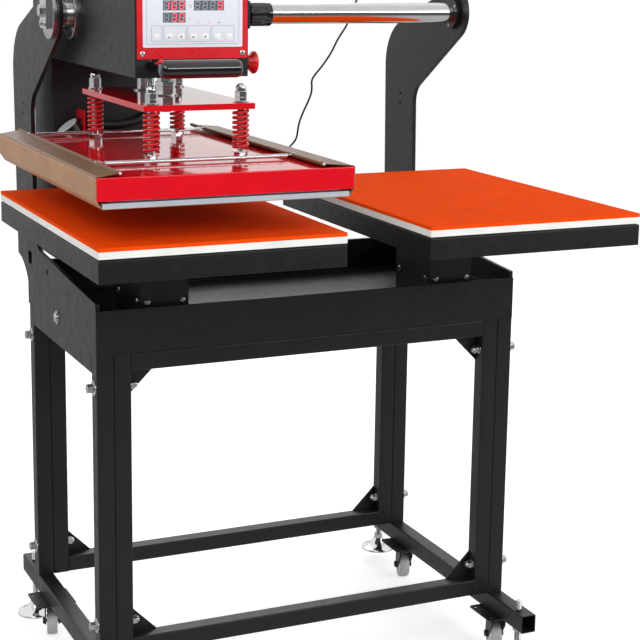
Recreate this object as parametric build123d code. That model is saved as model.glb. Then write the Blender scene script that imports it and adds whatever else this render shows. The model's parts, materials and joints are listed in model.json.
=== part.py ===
from build123d import *
import os
from math import asin, atan2, cos, pi, radians, sin, tan

os.makedirs("parts", exist_ok=True)

# Millimetres. X runs across the two stations, Y from the operator to the back, Z up from the floor.
# A setback is a distance behind the front edge of the pads.

# Driving sizes: stations and pads
station_setback = 124.0
pad_width = 400.0
pad_depth = 600.0
silicone_thickness = 6.0
board_thickness = 11.0
bead_height = 2.0
bead_inset = 4.0
pad_box_height = 35.0
pad_box_wall = 2.0
pad_box_corner = 3.0
pad_box_lip = 10.0
board_corner = 2.0
silicone_corner = 2.0
cross_member_height = 30.0

# Driving sizes: stand
tube_size = 30.0
tube_wall = 2.0
tube_corner = 2.5
leg_length = 534.0
side_rail_height = 36.0
foot_beam_height = 34.0
foot_beam_setback = 152.0
foot_beam_length = 654.0
front_leg_setback = 274.0
leg_spacing = 407.0
stand_width = 794.0
gusset_size = 50.0
gusset_thickness = 2.5
frame_bolt_size = 10.0
frame_bolt_end_distance = 57.0
bolt_hole_clearance = 0.4
bolt_head_height = 11.0
bolt_head_flats = 14.0
bolt_washer_diameter = 26.0
bolt_washer_thickness = 2.0
bolt_inner_washer_diameter = 18.0
bolt_nut_height = 8.0
bolt_tip = 4.0

# Driving sizes: castors and levelling feet
castor_height = 78.0
castor_plate_size = 76.0
castor_plate_thickness = 3.0
castor_edge_setback = 78.0
castor_spacing = 380.0
castor_trail = 14.0
castor_yaw = 15.0
wheel_diameter = 52.0
wheel_width = 20.0
wheel_side_gap = 1.5
fork_sheet = 2.5
swivel_cup_diameter = 46.0
swivel_cup_height = 8.0
swivel_gap = 0.5
axle_diameter = 8.0
running_clearance = 0.08
foot_disc_diameter = 72.0
foot_disc_rim = 4.0
foot_dome_height = 20.0
foot_end_distance = 36.0
foot_stem_diameter = 12.0
foot_stem_above = 16.0
foot_lift = 24.0
lock_nut_height = 8.0
lock_nut_flats = 19.0
castor_plate_corner = 4.0
castor_hole_spacing = 58.0
castor_hole_size = 8.0
swivel_pin_diameter = 10.0
swivel_pin_head = 16.0
swivel_pin_head_height = 2.5
fork_crown_diameter = 40.0
fork_leg_width = 16.0
fork_shoulder = 14.0
axle_flats = 12.0
axle_head_height = 4.0
tread_radius = 4.0
tread_band = 9.0
hub_diameter = 18.0
hub_recess = 3.0
foot_neck_diameter = 22.0
foot_dome_dish = 3.0
foot_dome_share = 0.3
foot_hex_flats = 17.0
foot_hex_height = 10.0

# Driving sizes: base tray and side plates
sheet_steel = 3.0
tray_skirt = 17.0
tray_front_height = 76.0
tray_rear_height = 82.0
tray_flange_height = 34.0
side_plate_thickness = 8.0
side_plate_front_height = 88.0
side_plate_rise = 22.0
arm_front_setback = 662.3
arm_rear_setback = 787.0
arm_lean = 1.6
arm_foot_radius = 50.0
arm_throat_radius = 44.0
arm_crown_radius = 92.0
arm_crown_slope = 20.0
throat_corner_height = 386.7
nose_radius = 50.5
plate_rear_setback = 718.0
notch_foot_height = 43.0
notch_head_height = 84.0
notch_bulge = 9.4
plate_slope_end_setback = 586.0
arm_hole_setback = 729.0
arm_hole_size = 6.0
arm_hole_heights = (357.0, 376.0)
plate_slots = ((687.0, 78.5, 25.0, 24.0), (575.0, 79.0, 8.0, 10.0))
plate_screw_size = 8.0
plate_screw_head = 16.0
plate_screw_head_height = 5.0
plate_screw_washer = 24.0
plate_screw_washer_thickness = 1.5
plate_screw_tip = 8.0
plate_screw_height = 15.0
plate_screw_setback = 515.0

# Driving sizes: pad supports
support_width = 84.0
support_height = 160.0
support_length = 136.0
support_setback = 288.0
support_wall = 4.0
support_bend = 15.0
bracket_height = 78.0
support_screw_spacing = 62.0
support_side_screw_spacing = 101.0
support_screw_height = 61.0
support_screw_size = 6.0
support_screw_head = 11.0
support_screw_head_height = 3.0
support_screw_length = 14.0

# Driving sizes: cross bar and lower guide
bar_setback = 518.0
bar_height = 547.8
bar_diameter = 38.0
bar_flange_radius = 42.5
bar_flange_thickness = 6.7
bar_clamp_width = 40.0
bar_clamp_height = 60.0
bar_clamp_thickness = 8.0
bar_socket_diameter = 60.0
bar_socket_thickness = 8.0
clamp_offset = 6.0
clamp_screw_spacing = 24.0
clamp_screw_margin = 9.0
clamp_screw_size = 6.0
clamp_screw_head = 10.0
clamp_screw_head_height = 4.0
clamp_screw_depth = 5.0
end_bolt_flats = 19.0
end_bolt_height = 8.0
socket_screw_count = 3
socket_screw_size = 4.0
socket_screw_head = 7.0
socket_screw_head_height = 2.0
rail_height = 46.0
rail_thickness = 8.0
rail_standoff = 10.0
rail_margin = 4.0
rail_below_panel_top = 2.0
spacer_diameter = 14.0
spacer_count = 5
spacer_edge = 3.0
rail_screw_size = 6.0
rail_screw_head = 11.0
rail_screw_head_height = 3.0
shoe_length = 120.0
shoe_lip = 7.0
shoe_back = 14.0
shoe_overlap = 22.0
shoe_clearance = 0.5
panel_clearance = 12.0

# Driving sizes: press head
head_offset = 6.0
head_width = 187.0
head_front_setback = 168.0
head_rear_setback = 654.0
head_below_bar = 83.8
head_above_bar = 86.2
column_rear_setback = 784.0
head_sheet = 3.0
frame_plate = 12.0
frame_rib = 10.0
frame_rib_spacing = 134.0
frame_front_margin = 30.0
bearing_ring_radius = 42.0
bearing_ring_thickness = 7.0
bearing_sleeve_diameter = 58.0
sliding_clearance = 0.08
head_opening_length = 250.0
head_opening_width = 120.0
shell_corner = 2.0
bush_height = 20.0
bush_wall = 16.0
ring_chamfer = 1.5
ring_screw_count = 4
ring_screw_radius = 36.0
ring_screw_size = 5.0
ring_screw_head = 8.5
ring_screw_head_height = 2.0

# Driving sizes: control front
panel_width = 182.0
panel_thickness = 2.0
panel_bottom_height = 29.0
panel_height = 137.0
keypad_width = 164.0
keypad_height = 100.0
keypad_margin = 18.0
keypad_thickness = 1.2
key_width = 11.0
key_height = 9.0
key_relief = 0.4
key_row_height = 16.0
key_pitch = 19.9
key_count = 7
window_relief = 0.5
temperature_window_width = 37.0
temperature_window_offset = -31.0
counter_window_width = 50.0
counter_window_offset = 26.0
window_height = 15.5
upper_window_height = 64.2
lower_window_height = 45.8
keypad_corner = 2.0
panel_screw_margin = 8.5
panel_screw_size = 4.0
panel_screw_head = 9.0
panel_screw_head_height = 2.5
panel_screw_round = 1.5
handle_grip_diameter = 28.0
handle_grip_length = 132.0
handle_grip_offset = -15.0
handle_reach = 78.0
handle_arm_diameter = 16.0
handle_arm_height = 19.0
handle_flange_margin = 0.4
handle_flange_thickness = 4.0
grip_end_radius = 9.0
thumb_button_diameter = 8.0
thumb_button_travel = 2.0
thumb_button_foot = 7.0
thumb_button_cap = 19.5
thumb_button_round = 1.5
thumb_button_tilt = 45.0
button_clearance = 0.3
stop_button_diameter = 37.0
stop_button_neck = 24.0
stop_button_reach = 21.0
stop_button_height = 20.5
stop_button_setback = 190.0
stop_button_travel = 4.0
stop_collar_thickness = 4.0
stop_collar_diameter = 30.0
stop_stem_diameter = 14.0
stop_stem_depth = 12.0
stop_cap_thickness = 5.0
stop_cap_round = 3.5
stop_cap_flare = 6.5
knob_setback = 192.0
knob_height = 96.5
knob_flange_size = 44.0
knob_flange_thickness = 4.0
knob_diameter = 38.5
knob_length = 37.5
knob_gap = 4.0
knob_neck_diameter = 20.0
knob_neck_gap = 1.0
knob_flange_corner = 3.0
knob_round = 2.0
knob_groove_count = 18
knob_groove = 2.4
knob_grip_length = 26.0
knob_spindle_diameter = 10.0
knob_spindle_length = 14.0

# Driving sizes: air cylinder on top of the head
piston_setback = 300.0
cylinder_cap_size = 130.0
cylinder_cap_height = 22.0
cylinder_tube_diameter = 112.0
cylinder_tube_wall = 6.0
tie_rod_diameter = 10.0
tie_rod_spacing = 100.0
piston_thickness = 20.0
piston_rod_diameter = 25.0
press_stroke = 55.0
guide_column_diameter = 30.0
guide_column_distance = 102.0
guide_flange_diameter = 42.0
guide_flange_thickness = 2.5
valve_width = 60.0
valve_depth = 30.0
valve_height = 50.0
power_inlet_width = 48.0
power_inlet_height = 28.0
air_port_diameter = 13.0
air_port_depth = 10.0
cylinder_cap_corner = 4.0
tie_nut_height = 8.0
tie_nut_flats = 17.0
tie_rod_tip = 2.0
piston_top_gap = 1.5
guide_top_gap = 2.0
guide_screw_size = 10.0
guide_screw_head = 16.0
guide_screw_head_height = 8.0
guide_screw_depth = 24.0
fitting_flats = 17.0
fitting_hex_length = 6.0
fitting_length = 18.0
fitting_collar_diameter = 14.0
valve_distance = 130.0
coil_length = 26.0
coil_margin = 4.0
coil_round = 2.0
inlet_drop = 130.0
inlet_flange = 2.0
inlet_socket_width = 26.0
inlet_socket_height = 19.0

# Driving sizes: mid plate, springs and platen
mid_plate_width = 184.0
mid_plate_depth = 335.0
mid_plate_thickness = 9.5
mid_plate_gap = 39.0
rod_nut_flats = 30.0
rod_nut_height = 13.6
jam_nut_height = 7.5
rod_washer_diameter = 42.0
rod_washer_thickness = 2.0
rod_thread_diameter = 20.0
rod_end_length = 4.0
mid_plate_corner = 1.5
spring_spacing_x = 148.0
spring_spacing_y = 300.0
spring_outer_diameter = 27.5
spring_wire = 5.7
spring_turns = 8
spring_end_gap = 0.2
spring_bolt_diameter = 12.0
spring_bolt_clearance = 0.3
standoff_height = 12.0
standoff_flats = 20.0
standoff_flange_diameter = 26.0
standoff_flange_thickness = 1.5
acorn_flats = 18.0
lock_hex_height = 6.5
acorn_hex_height = 9.0
acorn_dome_height = 12.0
acorn_washer_diameter = 24.0
acorn_washer_thickness = 2.0
acorn_dome_diameter = 16.5
acorn_dome_round = 7.5
nut_seat_gap = 0.2
cover_width = 412.0
cover_depth = 596.0
cover_height = 34.4
cover_sheet = 2.0
cover_corner = 5.0
cover_front_setback = 2.0
heater_width = 395.0
heater_depth = 590.0
heater_thickness = 8.0
heater_gap = 3.6
heater_core_margin = 12.0
heater_core_gap = 4.0
press_end_gap = 1.0
sheet_thickness = 0.8
sheet_side_margin = 3.0
sheet_clearance = 0.3
left_flap_length = 33.0
right_flap_length = 51.0
flap_rise = 5.0
hem_rod_diameter = 5.0
hem_rod_overhang = 4.0
sheet_spring_diameter = 7.0
front_sheet_spring_setback = 119.0
rear_sheet_spring_setback = 520.0
terminal_diameter = 44.0
terminal_depth = 16.0
terminal_offset = -52.0
terminal_reach = 23.6
terminal_tilt = 36.0
terminal_neck_diameter = 26.0
terminal_bracket_width = 46.0
terminal_bracket_rise = 37.0
terminal_bracket_thickness = 3.0
terminal_rise = 9.0
terminal_face_drop = 2.0
terminal_face_diameter = 40.0
terminal_face_thickness = 2.0
bracket_corner = 8.0
spigot_diameter = 20.0
spigot_length = 6.0

# Driving sizes: cords
conduit_diameter = 16.0
conduit_end_offset = 75.0
conduit_course = (
    (0.12, 0.0, 0.0), (0.46, -1.0, -3.0), (0.75, 1.0, 1.0), (0.93, 6.0, 7.0), (1.0, 18.0, 8.0),
)
signal_cord_diameter = 4.0
gland_diameter = 12.0
gland_length = 12.0
gland_reach = 8.0
gland_arm_diameter = 7.0
upper_gland_setback = 590.0
upper_gland_height = 505.0
lower_gland_x = 50.0
lower_gland_drop = 8.0
corner_share = 0.45

# How far a cut runs past the face that it opens
cut_margin = 1.0

# Heights above the floor
beam_bottom = castor_height
beam_top = beam_bottom + foot_beam_height
tray_bottom = beam_top + leg_length
tray_floor_top = tray_bottom + tray_skirt + sheet_steel
pad_box_bottom = tray_floor_top + support_height
pad_box_top = pad_box_bottom + pad_box_height
work_height = pad_box_top + bead_height + board_thickness + silicone_thickness
bar_z = tray_bottom + bar_height
head_bottom = bar_z - head_below_bar
head_top = bar_z + head_above_bar
mid_plate_top = head_bottom - mid_plate_gap
mid_plate_bottom = mid_plate_top - mid_plate_thickness
heater_bottom = work_height + press_end_gap + press_stroke
heater_top = heater_bottom + heater_thickness
cover_bottom = heater_top + heater_gap
cover_top = cover_bottom + cover_height
standoff_top = cover_top + standoff_height

# Places across the stand
station_x = stand_width / 2 - station_setback
pad_centres = (-station_x, station_x)
plate_outer_x = stand_width / 2
plate_inner_x = plate_outer_x - side_plate_thickness
leg_inner_x = plate_outer_x - tube_size
upright_inner_x = leg_inner_x - tube_size
beam_x = plate_outer_x - tube_size / 2
head_x = -station_x + head_offset
head_left = head_x - head_width / 2
head_right = head_x + head_width / 2

# Places from front to back
front_y = -(foot_beam_setback + foot_beam_length) / 2
back_y = front_y + foot_beam_setback + foot_beam_length
front_leg_y = front_y + front_leg_setback
rear_leg_y = front_leg_y + leg_spacing
tray_rear_y = rear_leg_y + tube_size
bar_y = front_y + bar_setback
head_front_y = front_y + head_front_setback
head_rear_y = front_y + head_rear_setback
column_rear_y = front_y + column_rear_setback
piston_y = front_y + piston_setback
guide_y = piston_y + guide_column_distance


def block(x0, x1, y0, y1, z0, z1):
    """Box between two opposite corners."""
    middle = Pos((x0 + x1) / 2, (y0 + y1) / 2, (z0 + z1) / 2)
    return middle * Box(abs(x1 - x0), abs(y1 - y0), abs(z1 - z0))


def rod_x(x0, x1, y, z, diameter):
    """Round bar along X."""
    return Pos((x0 + x1) / 2, y, z) * Rot(0, 90, 0) * Cylinder(diameter / 2, abs(x1 - x0))


def rod_y(x, y0, y1, z, diameter):
    """Round bar along Y."""
    return Pos(x, (y0 + y1) / 2, z) * Rot(90, 0, 0) * Cylinder(diameter / 2, abs(y1 - y0))


def rod_z(x, y, z0, z1, diameter):
    """Round bar along Z."""
    return Pos(x, y, (z0 + z1) / 2) * Cylinder(diameter / 2, abs(z1 - z0))


def hexagon(flats):
    """Hexagon outline measured across its flats."""
    return RegularPolygon(flats / 2, 6, major_radius=False)


def hex_z(x, y, z0, z1, flats):
    """Hexagon bar along Z."""
    return Pos(x, y, min(z0, z1)) * extrude(hexagon(flats), abs(z1 - z0))


def hex_x(x0, x1, y, z, flats):
    """Hexagon bar along X."""
    return Pos(min(x0, x1), y, z) * Rot(0, 90, 0) * extrude(hexagon(flats), abs(x1 - x0))


def hex_y(x, y0, y1, z, flats):
    """Hexagon bar along Y."""
    return Pos(x, max(y0, y1), z) * Rot(90, 0, 0) * extrude(hexagon(flats), abs(y1 - y0))


def square_tube(x0, x1, y0, y1, z0, z1, along):
    """Rectangular tube, open at its ends, with its long edges rounded."""
    outer = block(x0, x1, y0, y1, z0, z1)
    outer = fillet(outer.edges().filter_by(along), tube_corner)
    inset = [0 if axis == along else tube_wall for axis in (Axis.X, Axis.Y, Axis.Z)]
    inner = block(
        x0 + inset[0], x1 - inset[0], y0 + inset[1], y1 - inset[1], z0 + inset[2], z1 - inset[2]
    )
    return outer - inner


def write(name, *pieces):
    """Save the separate solids of one sub-part."""
    solids = [solid for piece in pieces for solid in piece.solids()]
    export_step(Compound(solids), f"parts/{name}.step")


def corner_radii(points):
    """Largest radii that a hand-laid route's runs allow, one for each corner."""
    vectors = [Vector(*point) for point in points]
    radii = []
    for before, corner, after in zip(vectors, vectors[1:], vectors[2:]):
        turn = (corner - before).get_angle(after - corner)
        shorter = min((corner - before).length, (after - corner).length)
        radii.append(corner_share * shorter / tan(radians(turn) / 2))
    return radii


def cord_tube(name, points, diameter):
    """Round tube along a route of straight runs joined by arcs."""
    radii = corner_radii(points)
    path = FilletPolyline(*points, radius=radii)
    start = Plane(origin=path @ 0, z_dir=path % 0)
    tube = sweep(start * Circle(diameter / 2), path=path)
    expected = path.length * pi * diameter**2 / 4
    print(name, "length", round(path.length, 1), "volume share", round(tube.volume / expected, 4))
    print(name, "radii", [round(radius, 1) for radius in radii])
    return tube


# Stand: two side frames, each with two legs, a rail and a foot beam
frame_bolt_heights = (tray_bottom - frame_bolt_end_distance, beam_top + frame_bolt_end_distance)
leg_centres = (front_leg_y + tube_size / 2, rear_leg_y + tube_size / 2)
foot_y = (
    front_y + foot_beam_setback + foot_end_distance,
    back_y - foot_end_distance,
)
castor_y = (
    foot_y[0] + castor_edge_setback,
    foot_y[0] + castor_edge_setback + castor_spacing,
)


def bolt_holes(side):
    """Clearance holes for the bolts that join a side frame to the front and rear frames."""
    holes = []
    for y in leg_centres:
        for z in frame_bolt_heights:
            inner = side * (upright_inner_x - tube_wall)
            outer = side * (plate_outer_x + tube_wall)
            holes.append(rod_x(inner, outer, y, z, frame_bolt_size + bolt_hole_clearance))
    return holes


def side_frame(side):
    """Legs, rail and foot beam of one side."""
    x0, x1 = sorted((side * leg_inner_x, side * plate_outer_x))
    pieces = []
    for y in (front_leg_y, rear_leg_y):
        leg = square_tube(x0, x1, y, y + tube_size, beam_top, tray_bottom, Axis.Z)
        for hole in bolt_holes(side):
            leg -= hole
        pieces.append(leg)
    rail_z = tray_bottom - side_rail_height
    pieces.append(
        square_tube(x0, x1, front_leg_y + tube_size, rear_leg_y, rail_z, tray_bottom, Axis.Y)
    )
    beam = square_tube(
        x0, x1, front_y + foot_beam_setback, back_y, beam_bottom, beam_top, Axis.Y
    )
    for y in foot_y:
        hole = foot_stem_diameter + 2 * running_clearance
        beam -= rod_z(side * beam_x, y, beam_bottom - tube_wall, beam_top + tube_wall, hole)
    pieces.append(beam)
    return pieces


write("left_side_frame", *side_frame(-1))
write("right_side_frame", *side_frame(1))


# Front and rear frames with corner gussets
def cross_frame(y, gusset_y):
    """Two uprights, a top and a bottom rail and four corner gussets."""
    pieces = []
    for side in (-1, 1):
        x0, x1 = sorted((side * upright_inner_x, side * leg_inner_x))
        upright = square_tube(x0, x1, y, y + tube_size, beam_top, tray_bottom, Axis.Z)
        for hole in bolt_holes(side):
            upright -= hole
        pieces.append(upright)
    for z in (beam_top, tray_bottom - tube_size):
        pieces.append(
            square_tube(
                -upright_inner_x, upright_inner_x, y, y + tube_size, z, z + tube_size, Axis.X
            )
        )
    for side in (-1, 1):
        for z, up in ((beam_top + tube_size, 1), (tray_bottom - tube_size, -1)):
            corner = side * upright_inner_x
            outline = Polyline(
                (corner, z),
                (corner - side * gusset_size, z),
                (corner, z + up * gusset_size),
                close=True,
            )
            face = Plane.XZ.offset(-gusset_y) * make_face(outline)
            pieces.append(extrude(face, -gusset_thickness))
    return pieces


gusset_back = tube_size - gusset_thickness - tube_corner
write("front_frame", *cross_frame(front_leg_y, front_leg_y + gusset_back))
write("rear_frame", *cross_frame(rear_leg_y, rear_leg_y + gusset_back))

# Bolts that clamp the frames together
frame_bolts = []
for side in (-1, 1):
    for y in leg_centres:
        for z in frame_bolt_heights:
            outer = side * plate_outer_x
            inner = side * upright_inner_x
            outer_washer = rod_x(
                outer, outer + side * bolt_washer_thickness, y, z, bolt_washer_diameter
            )
            inner_washer = rod_x(
                inner - side * bolt_washer_thickness, inner, y, z, bolt_inner_washer_diameter
            )
            nut_seat = inner - side * bolt_washer_thickness
            nut = hex_x(nut_seat - side * bolt_nut_height, nut_seat, y, z, bolt_head_flats)
            head_seat = outer + side * bolt_washer_thickness
            head = hex_x(head_seat, head_seat + side * bolt_head_height, y, z, bolt_head_flats)
            tip = nut_seat - side * (bolt_nut_height + bolt_tip)
            shank = rod_x(tip, head_seat, y, z, frame_bolt_size)
            frame_bolts.append(head + shank)
            frame_bolts.append(outer_washer - shank)
            frame_bolts.append(inner_washer - shank)
            frame_bolts.append(nut - shank)
write("frame_bolts", *frame_bolts)

# Base tray: floor, front and rear panels and side flanges bent from one sheet
plate_screw_y = front_y + plate_screw_setback
plate_screw_z = tray_bottom + plate_screw_height
tray = block(
    -plate_inner_x, plate_inner_x, front_leg_y, tray_rear_y,
    tray_floor_top - sheet_steel, tray_floor_top,
)
tray += block(
    -plate_outer_x, plate_outer_x, front_leg_y, front_leg_y + sheet_steel,
    tray_bottom, tray_bottom + tray_front_height,
)
tray += block(
    -plate_inner_x, plate_inner_x, tray_rear_y - sheet_steel, tray_rear_y,
    tray_bottom, tray_bottom + tray_rear_height,
)
for side in (-1, 1):
    tray += block(
        side * (plate_inner_x - sheet_steel), side * plate_inner_x, front_leg_y, tray_rear_y,
        tray_bottom, tray_floor_top + tray_flange_height,
    )
for side in (-1, 1):
    tip = side * (plate_inner_x - plate_screw_tip)
    tray -= rod_x(tip, side * plate_outer_x, plate_screw_y, plate_screw_z, plate_screw_size)
write("base_tray", tray)


# Side plates, each cut with its arm from one thick plate
def plate_outline():
    """Outline of a side plate and its arm, seen along X."""
    bottom = tray_bottom
    front_top = bottom + side_plate_front_height
    lean = tan(radians(arm_lean))
    slope_share = (arm_front_setback - front_leg_setback) / (
        plate_slope_end_setback - front_leg_setback
    )
    shoulder = front_top + side_plate_rise * slope_share
    arm_front = front_y + arm_front_setback
    shoulder_y = arm_front + (shoulder - bottom) * lean
    throat_y = arm_front + throat_corner_height * lean
    nose_y, nose_z = bar_y, bar_z
    slope = radians(arm_crown_slope)
    crown_y = nose_y + nose_radius * sin(slope)
    crown_z = nose_z + nose_radius * cos(slope)
    arm_rear = front_y + arm_rear_setback
    rear_z = (crown_z + (crown_y - arm_rear + bottom * lean) * tan(slope)) / (
        1 + lean * tan(slope)
    )
    rear_y = arm_rear + (rear_z - bottom) * lean
    throat_z = bottom + throat_corner_height
    reach_y = throat_y - nose_y
    reach_z = nose_z - throat_z
    reach = (reach_y**2 + reach_z**2) ** 0.5
    aim = atan2(reach_z, -reach_y) + asin(nose_radius / reach)
    tangent = (reach**2 - nose_radius**2) ** 0.5
    under_y = throat_y + tangent * cos(aim)
    under_z = throat_z + tangent * sin(aim)
    notch_foot = (front_y + plate_rear_setback, bottom + notch_foot_height)
    notch_head = (arm_rear + notch_head_height * lean, bottom + notch_head_height)
    corners = [
        (notch_foot[0], bottom),
        (front_leg_y + sheet_steel, bottom),
        (front_leg_y + sheet_steel, front_top),
        (shoulder_y, shoulder),
        (throat_y, throat_z),
        (under_y, under_z),
    ]
    lower = FilletPolyline(*corners[2:], radius=[arm_foot_radius, arm_throat_radius])
    nose = ThreePointArc((under_y, under_z), (nose_y - nose_radius, nose_z), (crown_y, crown_z))
    upper = FilletPolyline(
        (crown_y, crown_z), (rear_y, rear_z), notch_head, radius=[arm_crown_radius]
    )
    run_y = notch_head[0] - notch_foot[0]
    run_z = notch_head[1] - notch_foot[1]
    run = (run_y**2 + run_z**2) ** 0.5
    middle = (
        notch_foot[0] + run_y / 2 - notch_bulge * run_z / run,
        notch_foot[1] + run_z / 2 + notch_bulge * run_y / run,
    )
    notch = ThreePointArc(notch_head, middle, notch_foot)
    land = Line(notch_foot, corners[0])
    base = Polyline(*corners[:3])
    return make_face([base, *lower.edges(), nose, *upper.edges(), notch, land])


def side_plate(side):
    """One side plate with its holes and slots."""
    start = side * plate_inner_x
    plate = extrude(Plane.YZ.offset(min(start, start + side * side_plate_thickness))
                    * plate_outline(), side_plate_thickness)
    through = (side * (plate_inner_x - sheet_steel), side * (plate_outer_x + sheet_steel))
    plate -= rod_x(*through, bar_y, bar_z, bar_diameter + 2 * sliding_clearance)
    for hole_z in arm_hole_heights:
        plate -= rod_x(*through, front_y + arm_hole_setback, tray_bottom + hole_z, arm_hole_size)
    for y, z, width, height in plate_slots:
        slot_y = front_y + y
        slot_z = tray_bottom + z
        plate -= block(*through, slot_y, slot_y + width, slot_z, slot_z + height)
    plate -= rod_x(*through, plate_screw_y, plate_screw_z, plate_screw_size + bolt_hole_clearance)
    return plate


write("side_plate_left", side_plate(-1))
write("side_plate_right", side_plate(1))

# Screws that hold the side plates to the tray
plate_screws = []
for side in (-1, 1):
    outer = side * plate_outer_x
    seat = outer + side * plate_screw_washer_thickness
    tip = side * (plate_inner_x - plate_screw_tip)
    shank = rod_x(tip, seat, plate_screw_y, plate_screw_z, plate_screw_size)
    washer = rod_x(outer, seat, plate_screw_y, plate_screw_z, plate_screw_washer) - shank
    head_end = seat + side * plate_screw_head_height
    head = rod_x(seat, head_end, plate_screw_y, plate_screw_z, plate_screw_head)
    plate_screws.append(head + shank)
    plate_screws.append(washer)
write("plate_screws", *plate_screws)

# Pad supports: a bent channel over a bracket that stands on the tray floor
support_y = front_y + support_setback
support_back_y = support_y + support_length
side_screw_y = [
    support_y + (support_length - support_side_screw_spacing) / 2 + step
    for step in (0, support_side_screw_spacing)
]
support_screw_z = tray_floor_top + support_screw_height


def support_screws(x):
    """Screws through the sides and the front of one pad support."""
    screws = []
    for side in (-1, 1):
        outer = x + side * support_width / 2
        tip = outer - side * support_screw_length
        for y in side_screw_y:
            head = outer + side * support_screw_head_height
            screws.append(
                rod_x(outer, head, y, support_screw_z, support_screw_head)
                + rod_x(tip, outer, y, support_screw_z, support_screw_size)
            )
        front_x = x + side * support_screw_spacing / 2
        head = support_y - support_screw_head_height
        screws.append(
            rod_y(front_x, head, support_y, support_screw_z, support_screw_head)
            + rod_y(front_x, support_y, support_y + support_screw_length, support_screw_z,
                    support_screw_size)
        )
    return screws


def pad_support(x):
    """Channel, front plate and inner bracket of one pad support."""
    x0, x1 = x - support_width / 2, x + support_width / 2
    outer = block(x0, x1, support_y + support_wall, support_back_y, tray_floor_top, pad_box_bottom)
    top_edges = outer.edges().filter_by(Axis.Y).group_by(Axis.Z)[-1]
    outer = fillet(top_edges, support_bend)
    inner = block(
        x0 + support_wall, x1 - support_wall, support_y, support_back_y + support_wall,
        tray_floor_top - support_wall, pad_box_bottom - support_wall,
    )
    inner = fillet(
        inner.edges().filter_by(Axis.Y).group_by(Axis.Z)[-1], support_bend - support_wall
    )
    channel = outer - inner
    front = block(x0, x1, support_y, support_y + support_wall, tray_floor_top, pad_box_bottom)
    front = fillet(front.edges().filter_by(Axis.Y).group_by(Axis.Z)[-1], support_bend)
    bracket_x = support_width / 2 - support_wall
    bracket_y = support_y + support_wall
    bracket = block(
        x - bracket_x, x + bracket_x, bracket_y, support_back_y,
        tray_floor_top, tray_floor_top + bracket_height,
    )
    bracket -= block(
        x - bracket_x + support_wall, x + bracket_x - support_wall,
        bracket_y + support_wall, support_back_y + support_wall,
        tray_floor_top + support_wall, tray_floor_top + bracket_height + support_wall,
    )
    pieces = [channel, front, bracket]
    screws = support_screws(x)
    cut = []
    for piece in pieces:
        for screw in screws:
            piece -= screw
        cut.append(piece)
    return cut + screws


write("pad_support_left", *pad_support(pad_centres[0]))
write("pad_support_right", *pad_support(pad_centres[1]))


# Lower pads: steel box, heat board and silicone sheet
def pad_box(x):
    """Steel box of one station, open below, with a raised deck under its board."""
    x0, x1 = x - pad_width / 2, x + pad_width / 2
    y0, y1 = front_y, front_y + pad_depth
    box = block(x0, x1, y0, y1, pad_box_bottom, pad_box_top)
    box = fillet(box.edges().filter_by(Axis.Z), pad_box_corner)
    box = fillet(box.faces().sort_by(Axis.Z)[-1].edges(), pad_box_wall)
    box += block(
        x0 + bead_inset, x1 - bead_inset, y0 + bead_inset, y1 - bead_inset,
        pad_box_top - pad_box_wall, pad_box_top + bead_height,
    )
    hollow = block(
        x0 + pad_box_wall, x1 - pad_box_wall, y0 + pad_box_wall, y1 - pad_box_wall,
        pad_box_bottom + pad_box_wall, pad_box_top - pad_box_wall,
    )
    mouth = block(
        x0 + pad_box_lip, x1 - pad_box_lip, y0 + pad_box_lip, y1 - pad_box_lip,
        pad_box_bottom - pad_box_wall, pad_box_bottom + 2 * pad_box_wall,
    )
    box -= hollow
    return box - mouth


def pad_sheet(x, z0, z1, corner):
    """Flat sheet over one station."""
    sheet = block(x - pad_width / 2, x + pad_width / 2, front_y, front_y + pad_depth, z0, z1)
    return fillet(sheet.edges().filter_by(Axis.Z), corner)


def support_top(x):
    """Cross member inside the pad box that rests on the pad support."""
    half = support_width / 2 + pad_box_wall
    return block(
        x - half, x + half, front_y + pad_box_wall, front_y + pad_depth - pad_box_wall,
        pad_box_bottom, pad_box_bottom + cross_member_height,
    )


board_z = pad_box_top + bead_height
silicone_z = board_z + board_thickness
for name, x in zip(("left", "right"), pad_centres):
    member = support_top(x) - pad_box(x)
    write(f"pad_box_{name}", pad_box(x), member)
write("pad_boards", *[pad_sheet(x, board_z, silicone_z, board_corner) for x in pad_centres])
write(
    "silicone_pads",
    *[pad_sheet(x, silicone_z, work_height, silicone_corner) for x in pad_centres],
)

# Cross bar that the head slides along, with its clamp and socket
bar_left = -plate_outer_x
bar_right = plate_inner_x
write("cross_bar", rod_x(bar_left, bar_right, bar_y, bar_z, bar_diameter))

flange_left = bar_left - bar_flange_thickness
clamp_left = flange_left - bar_clamp_thickness
flange = rod_x(flange_left, bar_left, bar_y, bar_z, 2 * bar_flange_radius)
clamp = block(
    clamp_left, flange_left, bar_y - bar_clamp_width / 2, bar_y + bar_clamp_width / 2,
    bar_z + clamp_offset - bar_clamp_height / 2, bar_z + clamp_offset + bar_clamp_height / 2,
)
clamp_screws = []
for y in (bar_y - clamp_screw_spacing / 2, bar_y + clamp_screw_spacing / 2):
    z = bar_z + clamp_offset - bar_clamp_height / 2 + clamp_screw_margin
    head = rod_x(clamp_left - clamp_screw_head_height, clamp_left, y, z, clamp_screw_head)
    shank = rod_x(clamp_left, flange_left + clamp_screw_depth, y, z, clamp_screw_size)
    clamp_screws.append(head + shank)
end_bolt = hex_x(
    clamp_left - end_bolt_height, clamp_left, bar_y, bar_z + clamp_offset, end_bolt_flats
)
for screw in clamp_screws:
    clamp -= screw
    flange -= screw
write("bar_end_clamp", flange, clamp, end_bolt, *clamp_screws)

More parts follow.
